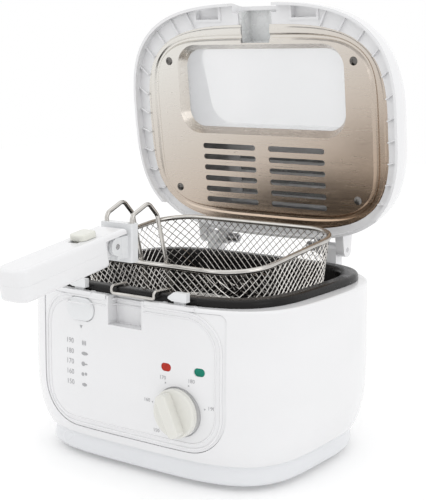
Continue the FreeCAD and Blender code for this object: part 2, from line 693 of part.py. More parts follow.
def lid_skin(inset, drop):
    """Domed solid: the front slopes down further than the rear."""
    z = LINER_Z - SKIRT_DROP
    rows = [(0.0, 0.0, 0.0, 0.0), (0.22, 0.6, 1.5, 0.2), (0.45, 4.5, 10.0, 1.0), (0.68, 14.0, 31.0, 4.0),
            (0.86, 29.0, 62.0, 10.0), (1.0, 50.0, 98.0, 20.0)]
    wires = [lid_outline(z + share * LID_HEIGHT - drop * share, side + inset, front + inset, rear + inset)
             for share, side, front, rear in rows]
    return loft(wires)


def liner_wire(z, inset):
    """Outline of the liner; further in, its corners get squarer."""
    power = LINER_POWER + LINER_SQUARING * max(inset, 0.0)
    return outline(LINER_HALF_X - inset, LINER_HALF_Y - LINER_MID_Y - inset,
                   LINER_HALF_Y + LINER_MID_Y - inset, z, power, power)


def window_wire(z, inset):
    corner = WINDOW_CORNER - inset
    return flat_rounded(-WINDOW_HALF_X + inset, WINDOW_HALF_X - inset, WINDOW_FRONT + inset,
                        WINDOW_REAR - inset, corner, z)


def pane_z():
    return LINER_Z + WINDOW_DEPTH


def lid_cavity():
    """Space inside the lid: the dome's inside less the rib, window tunnel and filter well."""
    rib_top = LINER_Z + 2.4
    rib = box(-300, 300, -300, 300, LINER_Z, rib_top).cut(prism(liner_wire(LINER_Z - 5, -TOUCH), 30.0))
    lip = box(-300, 300, -300, 300, LINER_Z + LINER_SHEET + TOUCH, rib_top)
    lip = lip.cut(prism(liner_wire(LINER_Z - 5, 6.0), 30.0))
    tunnel = loft([window_wire(pane_z() + PANE_THICKNESS + 1.0, 1.6), window_wire(lid_top_z() + 20.0, -3.0)])
    notch_wall = box(-NOTCH_HALF_X - LID_WALL, NOTCH_HALF_X + LID_WALL, -150, notch_back_y() + LID_WALL,
                     LINER_Z, LINER_Z + NOTCH_HEIGHT + LID_WALL)
    pocket_walls = [hook_pocket(side, LID_WALL) for side in (-1, 1)]
    filter_box = box(-FILTER_HALF_X - 4.8, FILTER_HALF_X + 4.8, FILTER_Y0 - 4.8, FILTER_Y1 + 4.8,
                     FILTER_FLOOR, lid_top_z() + 20.0)
    return cut(lid_skin(LID_WALL, LID_WALL), rib.fuse(lip), tunnel, filter_box, notch_wall, *pocket_walls)


def notch_back_y():
    return -LID_FRONT + 9.0


def hook_pocket(side, grow):
    """Space in the lid's front rim above one hook."""
    reach = HOOK_HALF + BUTTON_TRAVEL + 0.5 + grow
    front = -LID_FRONT + 3.0 - grow
    return box(side * HOOK_X - reach, side * HOOK_X + reach, front, HOOK_BACK_Y + 3.2 + grow,
               LINER_Z - 1, LINER_Z + 5.5 + grow)


def lid_top_z():
    return LINER_Z - SKIRT_DROP + LID_HEIGHT


def make_lid_shell():
    """Domed cover with a sunk window, a filter well and a notch for the basket's handle."""
    top = lid_top_z()
    well_low = pane_z() + PANE_THICKNESS + 1.0
    well = loft([window_wire(well_low - 0.1, 4.0), window_wire(top + 20.0, -0.6)])
    seat = prism(window_wire(pane_z(), 4.0), well_low - pane_z())
    filter_well = box(-FILTER_HALF_X, FILTER_HALF_X, FILTER_Y0, FILTER_Y1, FILTER_FLOOR + 2.0, top + 20.0)
    cover_seat = box(-FILTER_HALF_X - 2.4, FILTER_HALF_X + 2.4, FILTER_Y0 - 2.4, FILTER_Y1 + 2.4,
                     top - 2.4, top + 20.0)
    rows = [FILTER_Y0 + 6.0 + row * 11.0 for row in range(4)]
    reach = FILTER_HALF_X - 8.0
    grille = [box(-reach, reach, y, y + 4.0, FILTER_FLOOR - 2, FILTER_FLOOR + 4) for y in rows]
    notch = upright_slab(-NOTCH_HALF_X, NOTCH_HALF_X, LINER_Z - SKIRT_DROP - 20, LINER_Z + NOTCH_HEIGHT,
                         [1, 1, 5, 5], -150, notch_back_y())
    channel = box(-CHANNEL_HALF_X - 3.2, CHANNEL_HALF_X + 3.2, notch_back_y() - 1.0, CHANNEL_REAR_Y + 0.2,
                  LINER_Z - SKIRT_DROP - 5, CHANNEL_ROOF + 2.4)
    rear_skirt = box(-300, 300, REAR_SKIRT_Y, 300, LINER_Z - SKIRT_DROP - 5, LINER_Z - 2.2)
    pockets = [hook_pocket(side, 0.0) for side in (-1, 1)]
    shell = lid_skin(0.0, 0.0).cut(lid_cavity())
    return shell.cut([well, seat, filter_well, cover_seat, notch, channel, rear_skirt] + grille + pockets)


def make_wire_guide():
    """Moulded block that closes the channel for the handle wires."""
    wall = 2.4
    outer = box(-CHANNEL_HALF_X - 3.0, CHANNEL_HALF_X + 3.0, notch_back_y() - 1.0, CHANNEL_REAR_Y + 1.2,
                LINER_Z + 1.3, CHANNEL_ROOF + 2.0)
    inner = box(-CHANNEL_HALF_X - 3.0 + wall, CHANNEL_HALF_X + 3.0 - wall, -LID_FRONT, CHANNEL_REAR_Y,
                LINER_Z - 5, CHANNEL_ROOF)
    return outer.cut(inner)


def plate_between(profile, low, sheet):
    """Pressed sheet: rings between one wire of the profile and the next, and a flat middle."""
    rings = []
    for (inset_a, z_a), (inset_b, z_b) in zip(profile[:-1], profile[1:]):
        under = Part.makeRuledSurface(liner_wire(z_a, inset_a), liner_wire(z_b, inset_b))
        over = Part.makeRuledSurface(liner_wire(z_a + sheet, inset_a), liner_wire(z_b + sheet, inset_b))
        side_a = Part.makeRuledSurface(liner_wire(z_a, inset_a), liner_wire(z_a + sheet, inset_a))
        side_b = Part.makeRuledSurface(liner_wire(z_b, inset_b), liner_wire(z_b + sheet, inset_b))
        faces = under.Faces + over.Faces + side_a.Faces + side_b.Faces
        rings.append(Part.makeSolid(Part.makeShell(faces)))
    flat = prism(liner_wire(low, profile[-1][0]), sheet)
    return fuse(flat, *rings)


def make_liner():
    """Pressed steel liner: flat flange, raised middle, steam slots and a framed window hole."""
    sheet = LINER_SHEET
    low = LINER_Z - LINER_STEP
    bead = LINER_Z - LINER_BEAD
    groove = LINER_Z + 0.3
    profile = [(0.0, LINER_Z), (2.0, LINER_Z), (3.0, bead), (7.6, bead), (9.4, groove), (11.4, groove),
               (13.6, low)]
    liner = plate_between(profile, low, sheet)
    funnel = loft([window_wire(low, 0.0), window_wire(pane_z() - TOUCH, 5.0)], True)
    hole = loft([window_wire(low, sheet), window_wire(pane_z() - TOUCH, 5.0 + sheet)], True)
    liner = liner.fuse(funnel).cut(hole)
    holes = []
    for row in range(SLOT_ROWS):
        y = SLOT_FIRST_Y + row * SLOT_PITCH
        for side in (-1, 1):
            x0, x1 = sorted((side * SLOT_X0, side * SLOT_X1))
            half = SLOT_HEIGHT / 2
            slot = flat_rounded(x0, x1, y - half, y + half, half - 0.01, low - 2)
            holes.append(prism(slot, 8.0))
    for x, y in liner_screw_places():
        holes.append(cylinder(SCREW_RADIUS + 0.2, (x, y, low - 2), (0, 0, 1), 8.0))
    holes.append(box(-CHANNEL_HALF_X - 0.6, CHANNEL_HALF_X + 0.6, -150, CHANNEL_REAR_Y, low - 2, LINER_Z + 4))
    return liner.cut(holes)


def liner_screw_places():
    return [(-97.4, -60.4), (97.4, -60.4), (-96.2, 59.8), (96.2, 59.8)]


def make_liner_screws():
    low = LINER_Z - LINER_STEP
    screws = []
    for x, y in liner_screw_places():
        below = box(x - 5, x + 5, y - 5, y + 5, low - 3, low - TOUCH)
        head = Part.makeSphere(4.6, Vector(x, y, low + 2.6)).common(below)
        shank = cylinder(SCREW_RADIUS, (x, y, low - 0.4), (0, 0, 1), 12.0)
        cross = [box(x - 1.9, x + 1.9, y - 0.45, y + 0.45, low - 3, low - 0.9),
                 box(x - 0.45, x + 0.45, y - 1.9, y + 1.9, low - 3, low - 0.9)]
        screws.append(cut(head.fuse(shank), *cross))
    return group(screws)


def make_liner_bosses():
    """Screw posts behind the liner."""
    low = LINER_Z - LINER_STEP + LINER_SHEET + TOUCH
    posts = []
    for x, y in liner_screw_places():
        post = cylinder(4.2, (x, y, low), (0, 0, 1), 12.0)
        posts.append(post.cut(cylinder(SCREW_RADIUS + TOUCH, (x, y, low - 1), (0, 0, 1), 12.5)))
    return group(posts)


def make_window():
    return prism(window_wire(pane_z(), 3.0), PANE_THICKNESS)


def make_window_seal():
    """Silicone ring clamped between the pane's rim and the shell."""
    z = pane_z() + PANE_THICKNESS + TOUCH
    return prism(window_wire(z, 2.2), 1.0 - 2 * TOUCH).cut(prism(window_wire(z - 1, 4.0), 4.0))


def make_filter():
    return box(-FILTER_HALF_X + 0.4, FILTER_HALF_X - 0.4, FILTER_Y0 + 0.4, FILTER_Y1 - 0.4,
               FILTER_FLOOR + 2.0 + TOUCH, FILTER_FLOOR + 13.0)


def make_filter_cover():
    z = LINER_Z - SKIRT_DROP + LID_HEIGHT - 2.4 + TOUCH
    half = FILTER_HALF_X + 2.0
    cover = prism(flat_rounded(-half, half, FILTER_Y0 - 2.0, FILTER_Y1 + 2.0, 3, z), 3.6)
    cover = fillet_at_height(cover, z + 3.6, 1.0)
    for row in range(5):
        y = FILTER_Y0 + 5.0 + row * 9.0
        for side in (-1, 1):
            x0, x1 = sorted((side * 5.0, side * (FILTER_HALF_X - 5.0)))
            cover = cover.cut(prism(flat_rounded(x0, x1, y, y + 3.0, 1.45, z - 1), 8.0))
    return cover


def make_hinge_arms():
    """Knuckles on the lid, either side of each post."""
    arms = []
    for side in (-1, 1):
        for offset in (-1, 1):
            middle = side * POST_X + offset * (POST_WIDTH / 2 + 0.5 + KNUCKLE_WIDTH / 2)
            x0 = middle - KNUCKLE_WIDTH / 2
            knuckle = cylinder(KNUCKLE_RADIUS, (x0, HINGE_Y, HINGE_Z), (1, 0, 0), KNUCKLE_WIDTH)
            corners = [(HINGE_Y, HINGE_Z - KNUCKLE_RADIUS), (HINGE_Y, HINGE_Z + KNUCKLE_RADIUS),
                       (93.5, HINGE_Z + 10.0), (93.5, HINGE_Z - 7.0)]
            wire = Part.makePolygon([Vector(x0, y, z) for y, z in corners + corners[:1]])
            web = Part.Face(wire).extrude(Vector(KNUCKLE_WIDTH, 0, 0))
            bore = cylinder(PIN_RADIUS + TOUCH, (x0 - 1, HINGE_Y, HINGE_Z), (1, 0, 0), KNUCKLE_WIDTH + 2)
            arms.append(knuckle.fuse(web).cut([bore, lid_skin(-0.08, 0.0)]))
    return group(arms)


def make_hinge_posts():
    """Posts on the housing's rear ledge that hold the hinge pins."""
    posts = []
    for side in (-1, 1):
        x0 = side * POST_X - POST_WIDTH / 2
        head = cylinder(POST_RADIUS, (x0, HINGE_Y, HINGE_Z), (1, 0, 0), POST_WIDTH)
        leg = box(x0, x0 + POST_WIDTH, HINGE_Y - POST_RADIUS, HINGE_Y + POST_RADIUS, HOUSING_TOP, HINGE_Z)
        bore = cylinder(PIN_RADIUS + RUNNING, (x0 - 1, HINGE_Y, HINGE_Z), (1, 0, 0), POST_WIDTH + 2)
        posts.append(head.fuse(leg).cut(bore))
    return group(posts)


def hinge_hump(side):
    """Swelling of the rear wall below one hinge post."""
    x0 = side * POST_X - POST_WIDTH / 2 - 2.0
    rear = HINGE_Y + POST_RADIUS + 0.8
    corners = [(rear - 10.5, HOUSING_TOP - 46.0), (rear, HOUSING_TOP - 20.0), (rear, HOUSING_TOP),
               (rear - 10.5, HOUSING_TOP)]
    wire = Part.makePolygon([Vector(x0, y, z) for y, z in corners + corners[:1]])
    return Part.Face(wire).extrude(Vector(POST_WIDTH + 4.0, 0, 0))


def make_hinge_pins():
    pins = []
    for side in (-1, 1):
        length = POST_WIDTH + 1.0 + 2 * KNUCKLE_WIDTH
        start = side * POST_X - length / 2
        if side > 0:
            start -= 12.0
        pins.append(cylinder(PIN_RADIUS, (start, HINGE_Y, HINGE_Z), (1, 0, 0), length + 12.0))
    return group(pins)


def make_hinge_springs():
    """Close-wound torsion springs round the pins' inner ends."""
    coils = []
    for side in (-1, 1):
        inner = POST_X - POST_WIDTH / 2 - 0.5 - KNUCKLE_WIDTH
        for turn in range(6):
            x = side * (inner - 1.3 - turn * 1.75)
            coils.append(Part.makeTorus(PIN_RADIUS + 1.6, 0.8, Vector(x, HINGE_Y, HINGE_Z), Vector(1, 0, 0)))
    return group(coils)


# ---- basket --------------------------------------------------------------------------------
def basket_wire(z, inset):
    return flat_rounded(-BASKET_HALF_X + inset, BASKET_HALF_X - inset, BASKET_MID_Y - BASKET_HALF_Y + inset,
                        BASKET_MID_Y + BASKET_HALF_Y - inset, BASKET_CORNER - inset, z)


def make_basket_mesh():
    top = BASKET_RIM_Z - RIM_WIRE - TOUCH
    low = BASKET_RIM_Z - BASKET_DEPTH
    t = MESH_THICKNESS
    outer = loft([basket_wire(low, BASKET_TAPER + 5), basket_wire(low + 6, BASKET_TAPER),
                  basket_wire(top, 0.5)], True)
    inner = loft([basket_wire(low + t, BASKET_TAPER + 5 + t), basket_wire(low + 6, BASKET_TAPER + t),
                  basket_wire(top + 0.01, 0.5 + t)], True)
    return tilt_basket(outer.cut(inner))


def make_basket_rim():
    return tilt_basket(closed_wire_loop(-BASKET_HALF_X, BASKET_HALF_X, BASKET_MID_Y - BASKET_HALF_Y,
                                        BASKET_MID_Y + BASKET_HALF_Y, BASKET_CORNER, BASKET_RIM_Z, RIM_WIRE))


def make_basket_frame():
    """Support wires below the basket's floor."""
    z = BASKET_RIM_Z - BASKET_DEPTH - 1.3 - TOUCH
    reach_x = BASKET_HALF_X - BASKET_TAPER - 22
    reach_y = BASKET_HALF_Y - BASKET_TAPER - 20
    rods = [cylinder(1.3, (x, BASKET_MID_Y - reach_y, z), (0, 1, 0), 2 * reach_y) for x in (-34, 34)]
    rods += [cylinder(1.3, (-reach_x, BASKET_MID_Y + y, z), (1, 0, 0), 2 * reach_x) for y in (-22, 22)]
    return tilt_basket(fuse(*rods))


def wire_y():
    """Y of the handle wires where they stand in the bracket."""
    return (BRACKET_FRONT_Y + BRACKET_BACK_Y) / 2.0


def make_handle_wires():
    """Two bent wires that join the bracket to the basket's front."""
    wires = []
    for side in (-1, 1):
        x = side * FRAME_X
        points = [Vector(x, wire_y(), BRACKET_BOTTOM + 7.0), Vector(x, wire_y(), BRACKET_TOP + 5.5),
                  Vector(x, -91.5, BRACKET_TOP + 13.6), Vector(x, -80.5, BRACKET_TOP + 3.0),
                  Vector(x, -60.5, 140.0)]
        wires.append(bent_wire(points, 6.0, FRAME_WIRE))
    return group(wires)


def make_bracket():
    """White bracket that carries the grip's pivot."""
    plate = box(-BRACKET_HALF_X, BRACKET_HALF_X, BRACKET_FRONT_Y, BRACKET_BACK_Y, BRACKET_BOTTOM, BRACKET_TOP)
    plate = plate.makeFillet(1.2, [e for e in plate.Edges if abs(e.BoundBox.ZLength) > 20])
    cheek_x = TONGUE_HALF_X + 0.7
    parts = []
    for side in (-1, 1):
        x0, x1 = sorted((side * cheek_x, side * (cheek_x + CHEEK_THICKNESS)))
        arm = box(x0, x1, PIVOT_Y, BRACKET_FRONT_Y + 1, PIVOT_Z - EYE_RADIUS - 3, PIVOT_Z + EYE_RADIUS)
        eye = cylinder(EYE_RADIUS, (x0, PIVOT_Y, PIVOT_Z), (1, 0, 0), CHEEK_THICKNESS)
        parts += [arm, eye]
    bracket = fuse(plate, *parts)
    for side in (-1, 1):
        seat = (side * FRAME_X, wire_y(), BRACKET_BOTTOM + 6.9)
        bracket = bracket.cut(cylinder(FRAME_WIRE + TOUCH, seat, (0, 0, 1), 40))
    bracket = bracket.cut(cylinder(PIN_RADIUS + TOUCH, (-40, PIVOT_Y, PIVOT_Z), (1, 0, 0), 80))
    return bracket


def make_pivot_pin():
    reach = TONGUE_HALF_X + 0.7 + CHEEK_THICKNESS
    return cylinder(PIN_RADIUS, (-reach, PIVOT_Y, PIVOT_Z), (1, 0, 0), 2 * reach)


def grip_solid(inset):
    """Whole grip: tongue at the pivot, wide body, rounded tip."""
    half_z = GRIP_HALF_Z - inset
    body = rounded_wire(-GRIP_HALF_X + inset, GRIP_HALF_X - inset, GRIP_TIP_Y + inset, GRIP_START_Y - inset,
                        [9.0 - inset, 9.0 - inset, 4.0, 4.0], lambda u, v: Vector(u, v, PIVOT_Z - half_z))
    body = Part.Face(body).extrude(Vector(0, 0, 2 * half_z))
    for z in (PIVOT_Z - half_z, PIVOT_Z + half_z):
        body = fillet_at_height(body, z, 3.0)
    return body


def grip_tongue():
    half = EYE_RADIUS - 0.5
    arm = box(-TONGUE_HALF_X, TONGUE_HALF_X, GRIP_START_Y - 3.0, PIVOT_Y, PIVOT_Z - half, PIVOT_Z + half)
    eye = cylinder(EYE_RADIUS, (-TONGUE_HALF_X, PIVOT_Y, PIVOT_Z), (1, 0, 0), 2 * TONGUE_HALF_X)
    bore = cylinder(PIN_RADIUS + RUNNING, (-40, PIVOT_Y, PIVOT_Z), (1, 0, 0), 80)
    return arm.fuse(eye).cut(bore)


def grip_hood():
    """Lip of the upper half that covers the pivot's cheeks and ends just short of the bracket."""
    hood = box(-GRIP_HALF_X, GRIP_HALF_X, GRIP_START_Y - 4.5, BRACKET_FRONT_Y - HOOD_GAP,
               PIVOT_Z + EYE_RADIUS + 0.8, PIVOT_Z + GRIP_HALF_Z)
    return fillet_at_height(hood, PIVOT_Z + GRIP_HALF_Z, 2.4)


def make_grip_half(upper):
    shell = grip_solid(0.0).cut(grip_solid(GRIP_WALL))
    z0, z1 = (PIVOT_Z + TOUCH / 2, PIVOT_Z + 40) if upper else (PIVOT_Z - 40, PIVOT_Z - TOUCH / 2)
    half = shell.common(box(-60, 60, -300, 0, z0, z1))
    tongue = grip_tongue().common(box(-60, 60, -300, 0, z0, z1))
    half = half.fuse(tongue)
    if upper:
        half = half.fuse(grip_hood())
    for y in grip_screw_places():
        post = cylinder(3.8, (0, y, z0 if upper else PIVOT_Z - GRIP_HALF_Z + 0.5), (0, 0, 1),
                        GRIP_HALF_Z - 0.5 - TOUCH / 2)
        half = half.fuse(post)
        if upper:
            half = half.cut(cylinder(SCREW_RADIUS + TOUCH, (0, y, z0 - 1), (0, 0, 1), 8.0))
        else:
            half = half.cut(cylinder(SCREW_RADIUS + 0.3, (0, y, z0), (0, 0, 1), 80))
            half = half.cut(cylinder(3.2, (0, y, PIVOT_Z - 40), (0, 0, 1), 40 - 8.0))
    if upper:
        top = PIVOT_Z + GRIP_HALF_Z
        reach = LOCK_HALF_X - 3.0
        half = half.cut(box(-reach, reach, LOCK_Y - LOCK_TRAVEL - 7.0, LOCK_Y + 7.0, top - 4, top + 4))
    return half.removeSplitter()


def grip_screw_places():
    return (-176.0, -214.0)


def make_grip_screws():
    screws = []
    for y in grip_screw_places():
        z = PIVOT_Z - 8.0
        head = cylinder(3.0, (0, y, z - 2.0), (0, 0, 1), 2.0 - TOUCH)
        shank = cylinder(SCREW_RADIUS, (0, y, z - 0.5), (0, 0, 1), 13.0)
        screws.append(head.fuse(shank).cut(box(-2.2, 2.2, y - 0.4, y + 0.4, z - 3, z - 1.2)))
    return group(screws)


def make_lock_slide():
    """Thumb slide on top of the grip, with its foot in the grip's slot."""
    top = PIVOT_Z + GRIP_HALF_Z + 0.3
    y0, y1 = LOCK_Y - LOCK_LENGTH / 2, LOCK_Y + LOCK_LENGTH / 2
    pad = prism(flat_rounded(-LOCK_HALF_X, LOCK_HALF_X, y0, y1, 4.0, top), 4.5)
    pad = fillet_at_height(pad, top + 4.5, 1.5)
    stem = box(-LOCK_HALF_X + 3.4, LOCK_HALF_X - 3.4, LOCK_Y - 6.5, LOCK_Y + 6.5, top - 3.4, top + 0.5)
    foot = box(-LOCK_HALF_X, LOCK_HALF_X, LOCK_Y - 6.5, LOCK_Y + 6.5, top - 5.6, top - 2.9)
    return fuse(pad, stem, foot)


def make_lock_spring():
    z = PIVOT_Z + GRIP_HALF_Z - 4.6
    start = LOCK_Y - 7.0
    middles = [Vector(0, start - 1.25 * turn, z - 0.2) for turn in range(6)]
    return group([Part.makeTorus(1.5, 0.35, middle, Vector(0, 1, 0)) for middle in middles])


# ---- drain rest ----------------------------------------------------------------------------
def make_drain_rest():
    """U-shaped wire that sits over the pot's front rim and carries the raised basket."""
    bar_y = -POT_RIM_HALF_Y - REST_WIRE - 2.6
    low = HOUSING_TOP + 1.9
    high = HOUSING_TOP + POT_RIM_HEIGHT + REST_WIRE + TOUCH
    inner_y = -POT_RIM_HALF_Y + POT_RIM_WIDTH + REST_WIRE + 0.4
    left, right = REST_LEFT_X, REST_RIGHT_X
    points = [Vector(left, inner_y, high - 7.0), Vector(left, inner_y, high), Vector(left, bar_y, high),
              Vector(left, bar_y, low), Vector(right, bar_y, low), Vector(right, bar_y, high),
              Vector(right, inner_y, high), Vector(right, inner_y, high - 7.0)]
    return bent_wire(points, 2.2, REST_WIRE)


# ---- build ---------------------------------------------------------------------------------
def build():
    return {
        "housing": make_housing(),
        "hinge_posts": make_hinge_posts(),
        "base_plate": make_base_plate(),
        "base_screws": make_base_screws(),
        "screw_bosses": make_screw_bosses(),
        "feet": make_feet(),
        "pot": make_pot(),
        "heating_element": make_heating_element(),
        "heat_shield": make_heat_shield(),
        "shield_legs": make_shield_legs(),
        "thermostat": make_thermostat(),
        "capillary_probe": make_capillary(),
        "thermal_cutout": make_thermal_cutout(),
        "terminal_block": make_terminal_block(),
        "cord_gland": make_cord_gland(),
        "front_panel": make_front_panel(),
        "red_lens": make_lens(RED_LAMP_X),
        "green_lens": make_lens(GREEN_LAMP_X),
        "indicator_lamps": make_lamps(),
        "control_knob": make_knob(),
        "knob_spindle": make_spindle(),
        "latch_slider": make_latch_slider(),
        "latch_guides": make_latch_guides(),
        "latch_spring": make_latch_spring(),
        "release_button": make_release_button(),
        "hinge_pins": make_hinge_pins(),
        "hinge_springs": make_hinge_springs(),
        "lid_shell": swing_lid(make_lid_shell()),
        "lid_liner": swing_lid(make_liner()),
        "liner_screws": swing_lid(make_liner_screws()),
        "liner_bosses": swing_lid(make_liner_bosses()),
        "lid_window": swing_lid(make_window()),
        "window_seal": swing_lid(make_window_seal()),
        "wire_guide": swing_lid(make_wire_guide()),
        "steam_filter": swing_lid(make_filter()),
        "filter_cover": swing_lid(make_filter_cover()),
        "hinge_arms": swing_lid(make_hinge_arms()),
        "basket_mesh": make_basket_mesh(),
        "basket_rim": make_basket_rim(),
        "basket_frame": make_basket_frame(),
        "handle_wires": make_handle_wires(),
        "handle_bracket": make_bracket(),
        "pivot_pin": make_pivot_pin(),
        "grip_upper": droop_grip(make_grip_half(True)),
        "grip_lower": droop_grip(make_grip_half(False)),
        "grip_screws": droop_grip(make_grip_screws()),
        "lock_slide": droop_grip(make_lock_slide()),
        "lock_spring": droop_grip(make_lock_spring()),
        "drain_rest": make_drain_rest(),
    }


def recentre(pieces):
    """Move every piece along Y so that the origin is the middle of the fryer's box."""
    low = min(shape.BoundBox.YMin for shape in pieces.values())
    high = max(shape.BoundBox.YMax for shape in pieces.values())
    shift = -(low + high) / 2.0
    for shape in pieces.values():
        shape.translate(Vector(0, shift, 0))
    print("moved along Y by %.3f" % shift)
    return pieces


os.makedirs("parts", exist_ok=True)
for name, shape in recentre(build()).items():
    shape.exportStep("parts/%s.step" % name)
    print("%-18s %3d solids  valid %-5s %9.0f mm3" % (name, len(shape.Solids), shape.isValid(), shape.Volume))
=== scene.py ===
# %% [markdown]
# # A deep fryer, dressed in Blender
# The fryer's real shape comes packed from CAD: every housing, wire and hinge is already a separate
# node that rides on its own body. This lesson gives those nodes their finishes, adds the pieces that
# CAD leaves plain, such as the wire mesh of the basket and the marks on the panel, and sets up a
# quiet studio. Everything is in metres, and places are read from the CAD nodes.

# %% Load the frame
import json
import math

import bmesh
import bpy
from mathutils import Matrix, Vector


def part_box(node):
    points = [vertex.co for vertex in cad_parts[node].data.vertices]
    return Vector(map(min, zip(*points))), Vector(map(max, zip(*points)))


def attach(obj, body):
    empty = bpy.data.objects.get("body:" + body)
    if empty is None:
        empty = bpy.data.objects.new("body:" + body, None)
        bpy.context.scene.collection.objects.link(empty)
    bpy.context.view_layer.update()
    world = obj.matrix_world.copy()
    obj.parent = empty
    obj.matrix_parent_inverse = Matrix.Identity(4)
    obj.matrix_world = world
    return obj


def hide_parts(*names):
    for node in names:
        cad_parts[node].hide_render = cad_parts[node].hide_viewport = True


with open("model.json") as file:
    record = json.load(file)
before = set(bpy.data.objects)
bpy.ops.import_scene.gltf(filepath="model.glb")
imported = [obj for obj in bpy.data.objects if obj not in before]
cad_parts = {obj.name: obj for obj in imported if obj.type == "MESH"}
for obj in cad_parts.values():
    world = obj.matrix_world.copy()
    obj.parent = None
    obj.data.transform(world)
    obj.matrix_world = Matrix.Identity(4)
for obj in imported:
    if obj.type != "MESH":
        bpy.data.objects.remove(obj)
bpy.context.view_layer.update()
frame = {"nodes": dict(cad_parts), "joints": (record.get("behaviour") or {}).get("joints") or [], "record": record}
NODES = frame["nodes"]
MM = 0.001


# %% [markdown]
# ## Helpers for places
# A maker measures from the parts already on the bench. These helpers read the middle, the lowest and
# the highest corner of a node, so that a new piece needs no numbers of its own.

# %% Reading places from the frame
def low(node):
    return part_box(node)[0]


def high(node):
    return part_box(node)[1]


def middle(node):
    return (low(node) + high(node)) / 2


print("knob middle", [round(v, 4) for v in middle("control_knob")])

# %% [markdown]
# ## Camera and studio
# A long lens stands right of the front, slightly above the worktop. The aim is taken from the pot,
# because its middle is the middle of the appliance. The floor takes a shadow near the fryer and fades
# into the pale air farther out, so there is no horizon line,
# and large soft lamps give broad, soft reflections on the white plastic.

# %% Camera
CAMERA_AZIMUTH = math.radians(35.57)
CAMERA_ELEVATION = math.radians(9.53)
CAMERA_DISTANCE = 0.9523
CAMERA_LENS = 80.34
AIM_SIDE = 5.8 * MM
AIM_BACK = 4.2 * MM
AIM_HEIGHT = 168.9 * MM


def add_camera():
    pot = middle("pot")
    aim = Vector((pot.x + AIM_SIDE, pot.y + AIM_BACK, AIM_HEIGHT))
    level = math.cos(CAMERA_ELEVATION)
    side, front = math.sin(CAMERA_AZIMUTH) * level, -math.cos(CAMERA_AZIMUTH) * level
    back = Vector((side, front, math.sin(CAMERA_ELEVATION)))
    bpy.ops.object.camera_add(location=aim + back * CAMERA_DISTANCE)
    camera = bpy.context.object
    camera.rotation_euler = (-back).to_track_quat("-Z", "Y").to_euler()
    camera.data.lens = CAMERA_LENS
    camera.data.clip_start = 0.05
    bpy.context.scene.camera = camera
    print("camera at", [round(v, 4) for v in camera.location])


add_camera()

# %% Floor, backdrop and lamps
FLOOR_REACH = 2.6


def nothing_selected():
    if bpy.context.object and bpy.context.object.mode != "OBJECT":
        bpy.ops.object.mode_set(mode="OBJECT")
    bpy.ops.object.select_all(action="DESELECT")


def hold(piece):
    """Select one piece alone and make it the active one."""
    nothing_selected()
    piece.select_set(True)
    bpy.context.view_layer.objects.active = piece


def add_stage(material):
    nothing_selected()
    bpy.ops.mesh.primitive_plane_add(size=2 * FLOOR_REACH, location=(0, 0, -0.0004))
    floor = bpy.context.object
    floor.name = "studio_floor"
    floor.data.materials.append(material)


def add_lamp(name, place, aim, size, power):
    bpy.ops.object.light_add(type="AREA", location=place)
    lamp = bpy.context.object
    lamp.name = name
    lamp.data.shape = "RECTANGLE"
    lamp.data.size, lamp.data.size_y = size
    lamp.data.energy = power
    lamp.rotation_euler = (Vector(aim) - Vector(place)).to_track_quat("-Z", "Y").to_euler()


def add_sky(strength):
    world = bpy.data.worlds.new("studio_air")
    world.use_nodes = True
    air = world.node_tree.nodes["Background"]
    air.inputs["Color"].default_value = (1.0, 1.0, 1.0, 1.0)
    air.inputs["Strength"].default_value = strength
    bpy.context.scene.world = world


add_sky(1.0)
add_lamp("key_panel", (-0.9, -1.1, 1.25), (0, 0, 0.15), (1.0, 1.0), 1.6)
add_lamp("side_panel", (1.5, -0.2, 0.9), (0, 0, 0.15), (0.9, 1.2), 2.4)
add_lamp("top_panel", (0.0, 0.1, 1.7), (0, 0, 0.1), (1.4, 1.4), 2.6)
bpy.context.scene.view_settings.view_transform = "Standard"


# %% [markdown]
# ## Finishes
# Real mouldings are never one flat colour. Each finish below starts from a Principled shader and adds
# slow colour drift, a slow change in the gloss and a little bump, all read from Object coordinates, so the
# pattern stays on the piece when a joint moves. Values that are the same all over are set on the socket.

# %% Material helpers
def start_material(name, colour, roughness, metallic=0.0, **sockets):
    """A Principled material and its object coordinates."""
    material = bpy.data.materials.new(name)
    material.use_nodes = True
    shader = material.node_tree.nodes["Principled BSDF"]
    shader.inputs["Base Color"].default_value = (*colour, 1.0)
    shader.inputs["Roughness"].default_value = roughness
    shader.inputs["Metallic"].default_value = metallic
    for name_of, value in sockets.items():
        shader.inputs[name_of.replace("_", " ")].default_value = value
    return material, shader


def object_noise(material, scale, stretch=(1.0, 1.0, 1.0), detail=3.0, turn=(0.0, 0.0, 0.0)):
    """A noise pattern on the piece's own coordinates."""
    nodes, links = material.node_tree.nodes, material.node_tree.links
    place = nodes.new("ShaderNodeTexCoord")
    mapping = nodes.new("ShaderNodeMapping")
    mapping.inputs["Scale"].default_value = stretch
    mapping.inputs["Rotation"].default_value = turn
    noise = nodes.new("ShaderNodeTexNoise")
    noise.inputs["Scale"].default_value = scale
    noise.inputs["Detail"].default_value = detail
    links.new(place.outputs["Object"], mapping.inputs["Vector"])
    links.new(mapping.outputs["Vector"], noise.inputs["Vector"])
    return noise.outputs["Fac"]


def spread(material, factor, low_value, high_value, low_at=0.3, high_at=0.7):
    """Map a pattern onto a range of numbers."""
    ranges = material.node_tree.nodes.new("ShaderNodeMapRange")
    ranges.inputs["From Min"].default_value = low_at
    ranges.inputs["From Max"].default_value = high_at
    ranges.inputs["To Min"].default_value = low_value
    ranges.inputs["To Max"].default_value = high_value
    material.node_tree.links.new(factor, ranges.inputs["Value"])
    return ranges.outputs["Result"]


